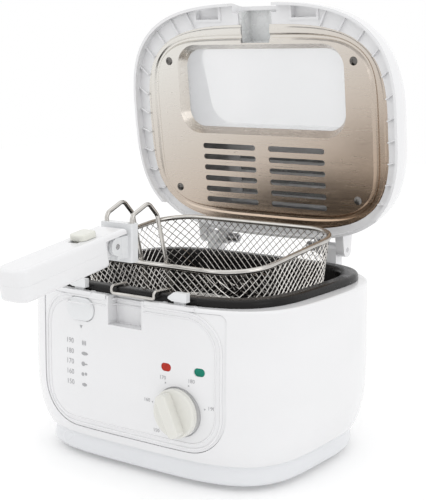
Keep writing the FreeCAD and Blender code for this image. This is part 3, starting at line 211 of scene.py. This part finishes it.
def tint(material, shader, factor, first, second, low_at=0.3, high_at=0.7):
    """Drift the base colour between two tints."""
    ramp = material.node_tree.nodes.new("ShaderNodeValToRGB")
    ramp.color_ramp.elements[0].position = low_at
    ramp.color_ramp.elements[0].color = (*first, 1.0)
    ramp.color_ramp.elements[1].position = high_at
    ramp.color_ramp.elements[1].color = (*second, 1.0)
    material.node_tree.links.new(factor, ramp.inputs["Fac"])
    material.node_tree.links.new(ramp.outputs["Color"], shader.inputs["Base Color"])


def bump(material, shader, height, distance, strength=1.0):
    """Let a pattern lift the surface by a small distance."""
    node = material.node_tree.nodes.new("ShaderNodeBump")
    node.inputs["Distance"].default_value = distance
    node.inputs["Strength"].default_value = strength
    material.node_tree.links.new(height, node.inputs["Height"])
    material.node_tree.links.new(node.outputs["Normal"], shader.inputs["Normal"])


def roughen(material, shader, factor, smooth, rough):
    material.node_tree.links.new(spread(material, factor, smooth, rough), shader.inputs["Roughness"])


# %% Plastics
def moulded(name, colour, roughness, coat=0.4, grain=0.000004):
    """Glossy injection moulding: faint flow marks and a clear polished skin."""
    material, shader = start_material(name, colour, roughness, IOR=1.49)
    shader.inputs["Coat Weight"].default_value = coat
    shader.inputs["Coat Roughness"].default_value = 0.06
    shade = tuple(0.975 * part for part in colour)
    tint(material, shader, object_noise(material, 9.0, (1.0, 1.0, 2.5), 2.0), shade, colour)
    roughen(material, shader, object_noise(material, 18.0, detail=1.0), 0.9 * roughness, 1.12 * roughness)
    bump(material, shader, object_noise(material, 45.0, detail=0.0), grain, 0.2)
    return material


def rubbery(name, colour):
    material, shader = start_material(name, colour, 0.6)
    tint(material, shader, object_noise(material, 120.0), tuple(0.85 * part for part in colour), colour)
    roughen(material, shader, object_noise(material, 400.0), 0.5, 0.75)
    bump(material, shader, object_noise(material, 2500.0, detail=2.0), 0.00004)
    return material


def lamp_lens(name, colour, depth):
    """Coloured clear plastic, darker where the dye has pooled."""
    material, shader = start_material(name, colour, 0.18, IOR=1.49)
    shader.inputs["Specular IOR Level"].default_value = 0.2
    shader.inputs["Coat Weight"].default_value = 0.05
    shader.inputs["Emission Color"].default_value = (*colour, 1.0)
    shader.inputs["Emission Strength"].default_value = 0.08
    tint(material, shader, object_noise(material, 260.0), tuple(depth * part for part in colour), colour)
    roughen(material, shader, object_noise(material, 500.0), 0.12, 0.25)
    return material


# %% Metals
def plated(name, colour, roughness):
    """Bright chrome on drawn wire, with tiny drawing marks."""
    material, shader = start_material(name, colour, roughness, 1.0)
    tint(material, shader, object_noise(material, 60.0), tuple(0.8 * part for part in colour), colour)
    roughen(material, shader, object_noise(material, 220.0), 0.6 * roughness, 1.6 * roughness)
    bump(material, shader, object_noise(material, 700.0), 0.00002)
    return material


def brushed(name, first, second, roughness, stretch=(1.0, 60.0, 60.0), scale=22.0):
    """Sheet steel brushed one way: long streaks in tint, gloss and height."""
    material, shader = start_material(name, first, roughness, 1.0)
    shader.inputs["Anisotropic"].default_value = 0.5
    streaks = object_noise(material, scale, stretch, 4.0)
    tint(material, shader, object_noise(material, 7.0, detail=1.0), first, second)
    roughen(material, shader, streaks, 0.8 * roughness, 1.35 * roughness)
    bump(material, shader, streaks, 0.00003, 0.6)
    return material


def coating(name, colour, roughness):
    """Sprayed non-stick coating: satin black with fine specks."""
    material, shader = start_material(name, colour, roughness)
    shader.inputs["Specular IOR Level"].default_value = 0.22
    specks = object_noise(material, 1400.0, detail=1.0)
    tint(material, shader, specks, colour, tuple(1.6 * part for part in colour), 0.55, 0.8)
    roughen(material, shader, object_noise(material, 90.0), 0.8 * roughness, 1.3 * roughness)
    bump(material, shader, object_noise(material, 1800.0, detail=2.0), 0.00003)
    return material


# %% Clear and soft finishes
def clear_pane(name):
    """Moulded window: nearly clear, very slightly milky."""
    material, shader = start_material(name, (0.93, 0.94, 0.95), 0.07, IOR=1.49)
    shader.inputs["Transmission Weight"].default_value = 0.75
    roughen(material, shader, object_noise(material, 12.0), 0.05, 0.16)
    tint(material, shader, object_noise(material, 10.0), (0.90, 0.91, 0.92), (0.97, 0.97, 0.98))
    return material


def milky(name):
    """Translucent polypropylene."""
    material, shader = start_material(name, (0.80, 0.81, 0.81), 0.25)
    shader.inputs["Transmission Weight"].default_value = 0.12
    shader.inputs["Coat Weight"].default_value = 0.4
    tint(material, shader, object_noise(material, 40.0), (0.72, 0.73, 0.73), (0.80, 0.81, 0.81))
    roughen(material, shader, object_noise(material, 150.0), 0.2, 0.35)
    return material


def fleece(name):
    material, shader = start_material(name, (0.30, 0.30, 0.30), 0.95)
    shader.inputs["Sheen Weight"].default_value = 0.4
    tint(material, shader, object_noise(material, 900.0), (0.16, 0.16, 0.16), (0.42, 0.42, 0.42))
    bump(material, shader, object_noise(material, 1500.0), 0.0003)
    return material


# %% Lid liner
def stained_steel(name, clean, warm, roughness):
    """Pressed steel, silvery at the top left and browned by heat towards the lower right."""
    material, shader = start_material(name, clean, roughness, 1.0)
    nodes, links = material.node_tree.nodes, material.node_tree.links
    place = nodes.new("ShaderNodeTexCoord")
    parts = nodes.new("ShaderNodeSeparateXYZ")
    links.new(place.outputs["Object"], parts.inputs["Vector"])
    down = spread(material, parts.outputs["Z"], 1.0, 0.0, LINER_STAIN_LOW, LINER_STAIN_HIGH)
    across = spread(material, parts.outputs["X"], 0.0, 1.0, -LINER_STAIN_SIDE, LINER_STAIN_SIDE)
    both = nodes.new("ShaderNodeMath")
    both.operation = "MULTIPLY_ADD"
    both.inputs[1].default_value = 0.62
    links.new(down, both.inputs[0])
    links.new(spread(material, across, 0.0, 0.38, 0.0, 1.0), both.inputs[2])
    tint(material, shader, both.outputs["Value"], clean, warm, 0.15, 0.95)
    streaks = object_noise(material, 40.0, (1.0, 12.0, 12.0), 2.0)
    roughen(material, shader, streaks, 0.85 * roughness, 1.2 * roughness)
    bump(material, shader, object_noise(material, 30.0, detail=1.0), 0.00004, 0.3)
    return material


LINER_STAIN_LOW = low("lid_liner").z
LINER_STAIN_HIGH = high("lid_liner").z
LINER_STAIN_SIDE = high("lid_liner").x


# %% Finishes by slot
FINISHES = {
    "white_shell": moulded("white_shell", (0.79, 0.79, 0.80), 0.22),
    "base_plastic": moulded("base_plastic", (0.74, 0.75, 0.77), 0.30, 0.2),
    "foot_rubber": rubbery("foot_rubber", (0.62, 0.62, 0.62)),
    "steel_screws": brushed("steel_screws", (0.10, 0.095, 0.09), (0.22, 0.21, 0.20), 0.3, (1, 1, 1), 300.0),
    "pot_coating": coating("pot_coating", (0.006, 0.0055, 0.0055), 0.26),
    "heater_steel": brushed("heater_steel", (0.30, 0.28, 0.26), (0.45, 0.42, 0.40), 0.35),
    "control_parts": moulded("control_parts", (0.05, 0.05, 0.055), 0.5, 0.0),
    "probe_metal": brushed("probe_metal", (0.42, 0.28, 0.18), (0.60, 0.44, 0.32), 0.3),
    "gland_plastic": moulded("gland_plastic", (0.75, 0.75, 0.75), 0.45, 0.0),
    "red_lamp": lamp_lens("red_lamp", (0.46, 0.028, 0.014), 0.7),
    "green_lamp": lamp_lens("green_lamp", (0.005, 0.21, 0.14), 0.7),
    "lamp_glass": milky("lamp_glass"),
    "spring_steel": plated("spring_steel", (0.55, 0.55, 0.56), 0.2),
    "knob_plastic": moulded("knob_plastic", (0.72, 0.715, 0.67), 0.25),
    "latch_plastic": moulded("latch_plastic", (0.76, 0.77, 0.78), 0.3, 0.2),
    "liner_steel": stained_steel("liner_steel", (0.74, 0.72, 0.68), (0.38, 0.26, 0.17), 0.24),
    "window_pane": clear_pane("window_pane"),
    "seal_silicone": rubbery("seal_silicone", (0.75, 0.75, 0.75)),
    "guide_plastic": milky("guide_plastic"),
    "filter_fleece": fleece("filter_fleece"),
    "cover_plastic": moulded("cover_plastic", (0.79, 0.79, 0.80), 0.22),
    "chrome_wire": plated("chrome_wire", (0.62, 0.60, 0.57), 0.12),
    "bracket_plastic": moulded("bracket_plastic", (0.72, 0.73, 0.74), 0.26),
    "grip_plastic": moulded("grip_plastic", (0.79, 0.79, 0.80), 0.24),
    "slide_plastic": moulded("slide_plastic", (0.72, 0.72, 0.66), 0.3),
}


def dress(thing, finish):
    if thing.material_slots:
        for holder in thing.material_slots:
            holder.material = finish
    else:
        thing.data.materials.append(finish)


for subpart in frame["record"]["subparts"]:
    dress(NODES[subpart["node"]], FINISHES[subpart["material_slot"]])
print(len(FINISHES), "finishes on", len(NODES), "CAD nodes")


# %% Floor
PAPER_NEAR = 0.16
PAPER_FAR = 0.62


def floor_paper():
    """White paper that takes the shadow near the fryer and fades into the pale air farther out."""
    material, shader = start_material("studio_paper", (0.94, 0.94, 0.94), 0.7)
    shader.inputs["Specular IOR Level"].default_value = 0.15
    shader.inputs["Emission Color"].default_value = (1.0, 1.0, 1.0, 1.0)
    nodes, links = material.node_tree.nodes, material.node_tree.links
    place = nodes.new("ShaderNodeTexCoord")
    length = nodes.new("ShaderNodeVectorMath")
    length.operation = "LENGTH"
    links.new(place.outputs["Object"], length.inputs[0])
    away = length.outputs["Value"]
    links.new(spread(material, away, 0.12, 1.0, PAPER_NEAR, PAPER_FAR), shader.inputs["Emission Strength"])
    tint(material, shader, away, (0.90, 0.90, 0.90), (0.0, 0.0, 0.0), PAPER_NEAR, PAPER_FAR)
    return material


add_stage(floor_paper())

# %% [markdown]
# ## Working in edit mode
# Operators act on whatever is selected, so each new piece starts from an empty selection and the faces
# or edges that an operator should touch are picked by their place. These helpers do the picking.

# %% Edit mode helpers
def edit(piece, mode="VERT"):
    hold(piece)
    bpy.ops.object.mode_set(mode="EDIT")
    bpy.ops.mesh.select_mode(type=mode)


def leave_edit():
    bpy.ops.object.mode_set(mode="OBJECT")


def pick_edges(piece, wanted):
    """Select the edges for which wanted(edge) is true."""
    bpy.ops.mesh.select_mode(type="EDGE")
    bpy.ops.mesh.select_all(action="DESELECT")
    shape = bmesh.from_edit_mesh(piece.data)
    for edge in shape.edges:
        edge.select_set(wanted(edge))
    bmesh.update_edit_mesh(piece.data)


def apply_all(piece):
    hold(piece)
    for modifier in list(piece.modifiers):
        bpy.ops.object.modifier_apply(modifier=modifier.name)


def apply_place(piece):
    hold(piece)
    bpy.ops.object.transform_apply(location=True, rotation=True, scale=True)


def joined(pieces):
    nothing_selected()
    for piece in pieces:
        piece.select_set(True)
    bpy.context.view_layer.objects.active = pieces[0]
    bpy.ops.object.join()
    return bpy.context.object


def settle(piece, name, finish, body, angle=40.0):
    """Name a finished piece, smooth it, give it its finish and its body."""
    apply_place(piece)
    piece.name = name
    piece.data.name = name
    bpy.ops.object.shade_smooth_by_angle(angle=math.radians(angle))
    piece.data.materials.clear()
    piece.data.materials.append(finish)
    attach(piece, body)
    print(name, len(piece.data.polygons), "faces")
    return piece


def turn_piece(piece, angle, about):
    """Turn all of a mesh about a line along X through a point; a positive angle lifts the front."""
    turn = Matrix.Translation(about) @ Matrix.Rotation(angle, 4, "X") @ Matrix.Translation(-about)
    piece.matrix_world = turn @ piece.matrix_world
    apply_place(piece)


# %% [markdown]
# ## The wire basket
# The real basket is wire mesh, wrapped on to a rim wire. One way is to bend hundreds of wires; a quicker
# and lighter one is to draw the basket as a net of quads, turn the net by 45 degrees by poking each
# face and dissolving the old edges, and let the Wireframe modifier turn every edge into a thin wire.

# %% Outline of the basket
BASKET_TILT = math.radians(6.3)
BASKET_DEPTH = 69.0 * MM
BASKET_CORNER = 36.0 * MM
BASKET_TAPER = 9.0 * MM
BASKET_ROUNDING = 5.0 * MM
RIM_WIRE = 2.2 * MM
MESH_STEP = 7.5 * MM
MESH_WIRE = 1.0 * MM
BASKET_ARC_STEPS = 7
WHOLE_RUN = 0.9                 # an edge longer than this share of a run is the run itself


def rounded_loop(centre, half_x, half_y, corner, step, arc_steps):
    """Edge loop of a rounded rectangle, its straight runs divided about evenly."""
    nothing_selected()
    bpy.ops.mesh.primitive_plane_add(size=2.0, location=centre)
    loop = bpy.context.object
    loop.scale = (half_x, half_y, 1.0)
    apply_place(loop)
    edit(loop)
    bpy.ops.mesh.select_all(action="SELECT")
    bpy.ops.mesh.bevel(offset=corner, segments=arc_steps, affect="VERTICES", profile=0.5)
    bpy.ops.mesh.delete(type="ONLY_FACE")
    for half, axis in ((half_x, 0), (half_y, 1)):
        run = 2 * (half - corner)
        pick_edges(loop, lambda edge: abs(edge.verts[0].co[axis] - edge.verts[1].co[axis]) > WHOLE_RUN * run)
        bpy.ops.mesh.subdivide(number_cuts=max(1, 2 * round(run / step / 2) - 1))
    bpy.ops.mesh.select_all(action="SELECT")
    leave_edit()
    return loop


def lower_ring(down, grow_x, grow_y, centre):
    bpy.ops.mesh.extrude_region_move(TRANSFORM_OT_translate={"value": (0.0, 0.0, -down)})
    bpy.ops.transform.resize(value=(grow_x, grow_y, 1.0), center_override=centre)


# %% Basket net
def add_basket_mesh():
    centre = middle("basket_rim")
    half_x = (high("basket_rim").x - low("basket_rim").x) / 2 - RIM_WIRE
    half_y = ((high("basket_rim").y - low("basket_rim").y) / 2 - RIM_WIRE) / math.cos(BASKET_TILT)
    net = rounded_loop(centre, half_x, half_y, BASKET_CORNER, MESH_STEP, BASKET_ARC_STEPS)
    edit(net)
    bpy.ops.mesh.select_all(action="SELECT")
    rows = round(BASKET_DEPTH / MESH_STEP)
    for row in range(rows):
        draw = BASKET_TAPER / rows
        shrink_x = 1 - draw / (half_x - row * draw)
        shrink_y = 1 - draw / (half_y - row * draw)
        lower_ring((BASKET_DEPTH - BASKET_ROUNDING) / rows, shrink_x, shrink_y, centre)
    inner_x, inner_y = half_x - BASKET_TAPER, half_y - BASKET_TAPER
    lower_ring(BASKET_ROUNDING, 1 - BASKET_ROUNDING / inner_x, 1 - BASKET_ROUNDING / inner_y, centre)
    bpy.ops.mesh.fill_grid(span=round(2 * (half_x - BASKET_CORNER) / MESH_STEP))
    bpy.ops.mesh.select_all(action="SELECT")
    bpy.ops.mesh.mark_sharp()
    bpy.ops.mesh.poke()
    pick_edges(net, lambda edge: not edge.smooth and not edge.is_boundary)
    bpy.ops.mesh.dissolve_edges(use_verts=False)
    leave_edit()
    wires = net.modifiers.new("wires", "WIREFRAME")
    wires.thickness = MESH_WIRE
    wires.use_even_offset = False
    wires.use_replace = True
    wires.use_boundary = True
    apply_all(net)
    turn_piece(net, BASKET_TILT, centre)
    settle(net, "basket_wires", FINISHES["chrome_wire"], "basket")
    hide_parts("basket_mesh")
    lowest = min(vertex.co.z for vertex in net.data.vertices)
    print("mesh reaches down to", round(lowest, 4), "and the CAD tray to", round(low("basket_mesh").z, 4))


add_basket_mesh()


# %% [markdown]
# ## Fins inside the lid's rim
# Below the steel liner, the lid's skirt is stiffened by small fins. They stand between the liner's edge
# and the skirt, so each fin runs from one superellipse to the other at the same angle. They are drawn
# on the shut lid, where they hang straight down, and swung open with the hinge's own angle.

# %% Lid hinge
LID_HINGE = next(joint for joint in frame["joints"] if joint["name"] == "lid_hinge")
HINGE_POINT = Vector(LID_HINGE["pos_m"])
LID_ANGLE = math.radians(LID_HINGE["range_deg"][1])
LINER_DROP = 7.0 * MM           # the liner lies this far below the hinge when the lid is shut
FIN_HEIGHT = 2.9 * MM           # short enough to clear the pot's rolled rim when the lid is shut
FIN_THICKNESS = 1.4 * MM
FIN_COUNT = 44
FIN_SINK = 0.3 * MM             # how far a fin reaches up past the liner's level
FIN_END_GAP = 0.2 * MM
FIN_ROUNDING = 0.3 * MM
HOOK_CLEARANCE = 3 * MM
FRONT_REACH = 190 * MM          # fins farther from the hinge than this are at the front
REAR_REACH = 36 * MM            # no fins nearer to the hinge than this
# half width, half depth, middle measured from the hinge along Y, squareness
LINER_SIZE = (126.7 * MM, 91.4 * MM, -109.1 * MM, 3.4)
SKIRT_SIZE = (136.8 * MM, 103.5 * MM, -113.75 * MM, 3.1)


def on_outline(size, angle):
    half_x, half_y, offset, power = size
    c, s = math.cos(angle), math.sin(angle)
    reach = (abs(c / half_x) ** power + abs(s / half_y) ** power) ** (-1 / power)
    return Vector((reach * c, HINGE_POINT.y + offset + reach * s, 0.0))


def add_fins():
    z = HINGE_POINT.z - LINER_DROP - FIN_HEIGHT / 2 + FIN_SINK
    hooks = high("latch_slider").x + HOOK_CLEARANCE
    fins = []
    for step in range(FIN_COUNT):
        angle = 2 * math.pi * (step + 0.5) / FIN_COUNT
        inner, outer = on_outline(LINER_SIZE, angle), on_outline(SKIRT_SIZE, angle)
        front = inner.y < HINGE_POINT.y - FRONT_REACH
        if inner.y > HINGE_POINT.y - REAR_REACH or (front and abs(inner.x) < hooks):
            continue
        along = outer - inner
        nothing_selected()
        place = (inner + outer) / 2 + Vector((0, 0, z))
        heading = math.atan2(along.y, along.x)
        bpy.ops.mesh.primitive_cube_add(size=1.0, location=place, rotation=(0, 0, heading))
        fin = bpy.context.object
        fin.scale = (along.length - FIN_END_GAP, FIN_THICKNESS, FIN_HEIGHT)
        fins.append(fin)
    ring = joined(fins)
    apply_place(ring)
    rounding = ring.modifiers.new("rounding", "BEVEL")
    rounding.width = FIN_ROUNDING
    rounding.segments = 2
    apply_all(ring)
    turn_piece(ring, -LID_ANGLE, HINGE_POINT)
    settle(ring, "skirt_fins", FINISHES["white_shell"], "lid")


add_fins()


# %% [markdown]
# ## Marks on the panel
# The panel is bowed, so flat print would float or sink. Each mark is a flat mesh pressed on to the panel by
# a Shrinkwrap modifier that projects along Y, then given a hair of thickness, like a layer of ink.

# %% Printing on the panel
INK_LIFT = 0.08 * MM
INK_THICKNESS = 0.12 * MM
PRESS_FROM = 5 * MM             # marks start this far in front of the panel
UPRIGHT = (math.radians(90), 0, 0)
PRINT_INK = start_material("print_ink", (0.38, 0.38, 0.39), 0.5)[0]
# Painted shade: this grey is not print; it stands for the shadowed gap round the knob.
GAP_SHADE_PAINT = start_material("painted_gap_shade", (0.46, 0.46, 0.47), 0.5)[0]


def press_on(piece, lift):
    wrap = piece.modifiers.new("press", "SHRINKWRAP")
    wrap.target = NODES["front_panel"]
    wrap.wrap_method = "PROJECT"
    wrap.use_project_y = True
    wrap.use_negative_direction = True
    wrap.use_positive_direction = True
    wrap.offset = lift


def print_mark(piece):
    press_on(piece, INK_LIFT)
    ink = piece.modifiers.new("ink", "SOLIDIFY")
    ink.thickness = INK_THICKNESS
    ink.offset = 0.0
    apply_all(piece)


def flat_number(body_text, x, z, size):
    nothing_selected()
    bpy.ops.object.text_add(location=(x, low("front_panel").y - PRESS_FROM, z), rotation=UPRIGHT)
    number = bpy.context.object
    number.data.body = body_text
    number.data.size = size
    number.data.align_x = "CENTER"
    number.data.align_y = "CENTER"
    number.data.resolution_u = 3
    bpy.ops.object.convert(target="MESH")
    apply_place(number)
    return number


def flat_disc(x, z, radius_x, radius_z, corners=16, turn=0.0):
    nothing_selected()
    bpy.ops.mesh.primitive_circle_add(vertices=corners, radius=1.0, fill_type="NGON",
                                      location=(x, low("front_panel").y - PRESS_FROM, z),
                                      rotation=(math.radians(90), turn, 0))
    disc = bpy.context.object
    disc.scale = (radius_x, radius_z, 1.0)
    apply_place(disc)
    return disc


# %% Temperature list
LIST_X = -59.0 * MM
LIST_TOP = 103.0 * MM
LIST_PITCH = 8.7 * MM
LIST_NUMBERS = ("190", "180", "170", "160", "150")
SIGN_GAP = 16.0 * MM
LIST_SIZE = 6.0 * MM


def food_sign(row, x, z):
    """A small generic sign beside each temperature."""
    if row == 0:
        return [flat_disc(x + k * 1.6 * MM, z, 0.55 * MM, 2.2 * MM, 8) for k in (-1, 0, 1)]
    if row == 1:
        fish = flat_disc(x, z, 2.8 * MM, 1.5 * MM)
        return [fish, flat_disc(x + 3.2 * MM, z, 1.5 * MM, 1.5 * MM, 3, math.pi / 2)]
    if row == 2:
        leg = flat_disc(x - 1.0 * MM, z, 1.9 * MM, 1.9 * MM)
        return [leg, flat_disc(x + 2.0 * MM, z, 1.9 * MM, 0.55 * MM, 8)]
    if row == 3:
        ring = flat_disc(x - 1.6 * MM, z, 1.5 * MM, 1.5 * MM)
        return [ring, flat_disc(x + 1.8 * MM, z + 0.5 * MM, 1.3 * MM, 1.3 * MM)]
    return [flat_disc(x, z, 2.9 * MM, 1.6 * MM, 6)]


def add_list():
    marks = []
    for row, number in enumerate(LIST_NUMBERS):
        z = LIST_TOP - row * LIST_PITCH
        marks.append(flat_number(number, LIST_X, z, LIST_SIZE))
        marks += food_sign(row, LIST_X + SIGN_GAP, z)
    table = joined(marks)
    print_mark(table)
    settle(table, "temperature_list", PRINT_INK, "base")


add_list()

# %% Dial scale and arrows
DIAL = middle("control_knob")
SCALE_RADIUS = 24.5 * MM
SCALE_NUMBERS = ("150", "160", "170", "180", "190")
SCALE_START = math.radians(222)
SCALE_STEP = math.radians(52)
SCALE_SIZE = 4.2 * MM
NUMBER_OUT_X = 5.6 * MM         # numbers stand this far outside the ticks
NUMBER_OUT_Z = 4.2 * MM
TICK = 1.0 * MM
ARROW = 1.9 * MM
ARROW_DROP = 5.0 * MM


def add_scale():
    marks = []
    for step, number in enumerate(SCALE_NUMBERS):
        angle = SCALE_START - step * SCALE_STEP
        x = DIAL.x + (SCALE_RADIUS + NUMBER_OUT_X) * math.cos(angle)
        z = DIAL.z + (SCALE_RADIUS + NUMBER_OUT_Z) * math.sin(angle)
        marks.append(flat_number(number, x, z, SCALE_SIZE))
        tick_x = DIAL.x + SCALE_RADIUS * math.cos(angle)
        tick_z = DIAL.z + SCALE_RADIUS * math.sin(angle)
        marks.append(flat_disc(tick_x, tick_z, TICK, TICK, 3, math.radians(90) - angle))
    button = middle("release_button")
    arrow_z = low("release_button").z - ARROW_DROP
    marks.append(flat_disc(button.x, arrow_z, ARROW, ARROW, 3, math.pi))
    scale = joined(marks)
    print_mark(scale)
    settle(scale, "dial_scale", PRINT_INK, "base")


add_scale()


# %% [markdown]
# ## Beads round the panel
# Two raised beads frame the panel. Each is an edge loop pressed on to the bowed panel, made a curve and
# given a round section, which is how a maker would lay a wire on a form.

# %% Panel beads
PANEL_CORNER = 33.0 * MM
BEAD_STEP = 4.0 * MM
BEAD_ARC_STEPS = 9
ROUND_SHADING = 80.0            # degrees: a round wire is smooth all over
# name, distance in from the panel's edge, radius
BEADS = (("panel_bead_outer", 3.5 * MM, 1.1 * MM), ("panel_bead_inner", 8.0 * MM, 0.7 * MM))


def round_wire(loop, radius):
    """Press a loop of edges on to the panel and make it a round wire."""
    press_on(loop, 0.0)
    apply_all(loop)
    hold(loop)
    bpy.ops.object.convert(target="CURVE")
    loop.data.bevel_depth = radius
    loop.data.bevel_resolution = 3
    bpy.ops.object.convert(target="MESH")


def add_panel_bead(name, inset, radius):
    panel = middle("front_panel")
    half_x = (high("front_panel").x - low("front_panel").x) / 2 - inset
    half_z = (high("front_panel").z - low("front_panel").z) / 2 - inset
    loop = rounded_loop((panel.x, 0.0, 0.0), half_x, half_z, PANEL_CORNER - inset, BEAD_STEP, BEAD_ARC_STEPS)
    loop.rotation_euler = UPRIGHT
    loop.location = (0.0, low("front_panel").y - PRESS_FROM, panel.z)
    apply_place(loop)
    round_wire(loop, radius)
    settle(loop, name, FINISHES["white_shell"], "base", ROUND_SHADING)


for bead in BEADS:
    add_panel_bead(*bead)


# %% [markdown]
# ## Painted shade round the knob's rim
# A shadowed gap runs round the knob where it meets the panel. A thin grey ring pressed on the panel paints that
# shade.

# %% Knob ring
RING_RADIUS = 19.9 * MM
RING_WIRE = 0.5 * MM
RING_STEPS = 96


def add_knob_ring():
    nothing_selected()
    bpy.ops.mesh.primitive_circle_add(vertices=RING_STEPS, radius=RING_RADIUS, rotation=UPRIGHT,
                                      location=(DIAL.x, low("front_panel").y - PRESS_FROM, DIAL.z))
    ring = bpy.context.object
    apply_place(ring)
    round_wire(ring, RING_WIRE)
    # The ring carries the painted shade of the gap round the knob.
    settle(ring, "knob_ring", GAP_SHADE_PAINT, "base", ROUND_SHADING)


add_knob_ring()
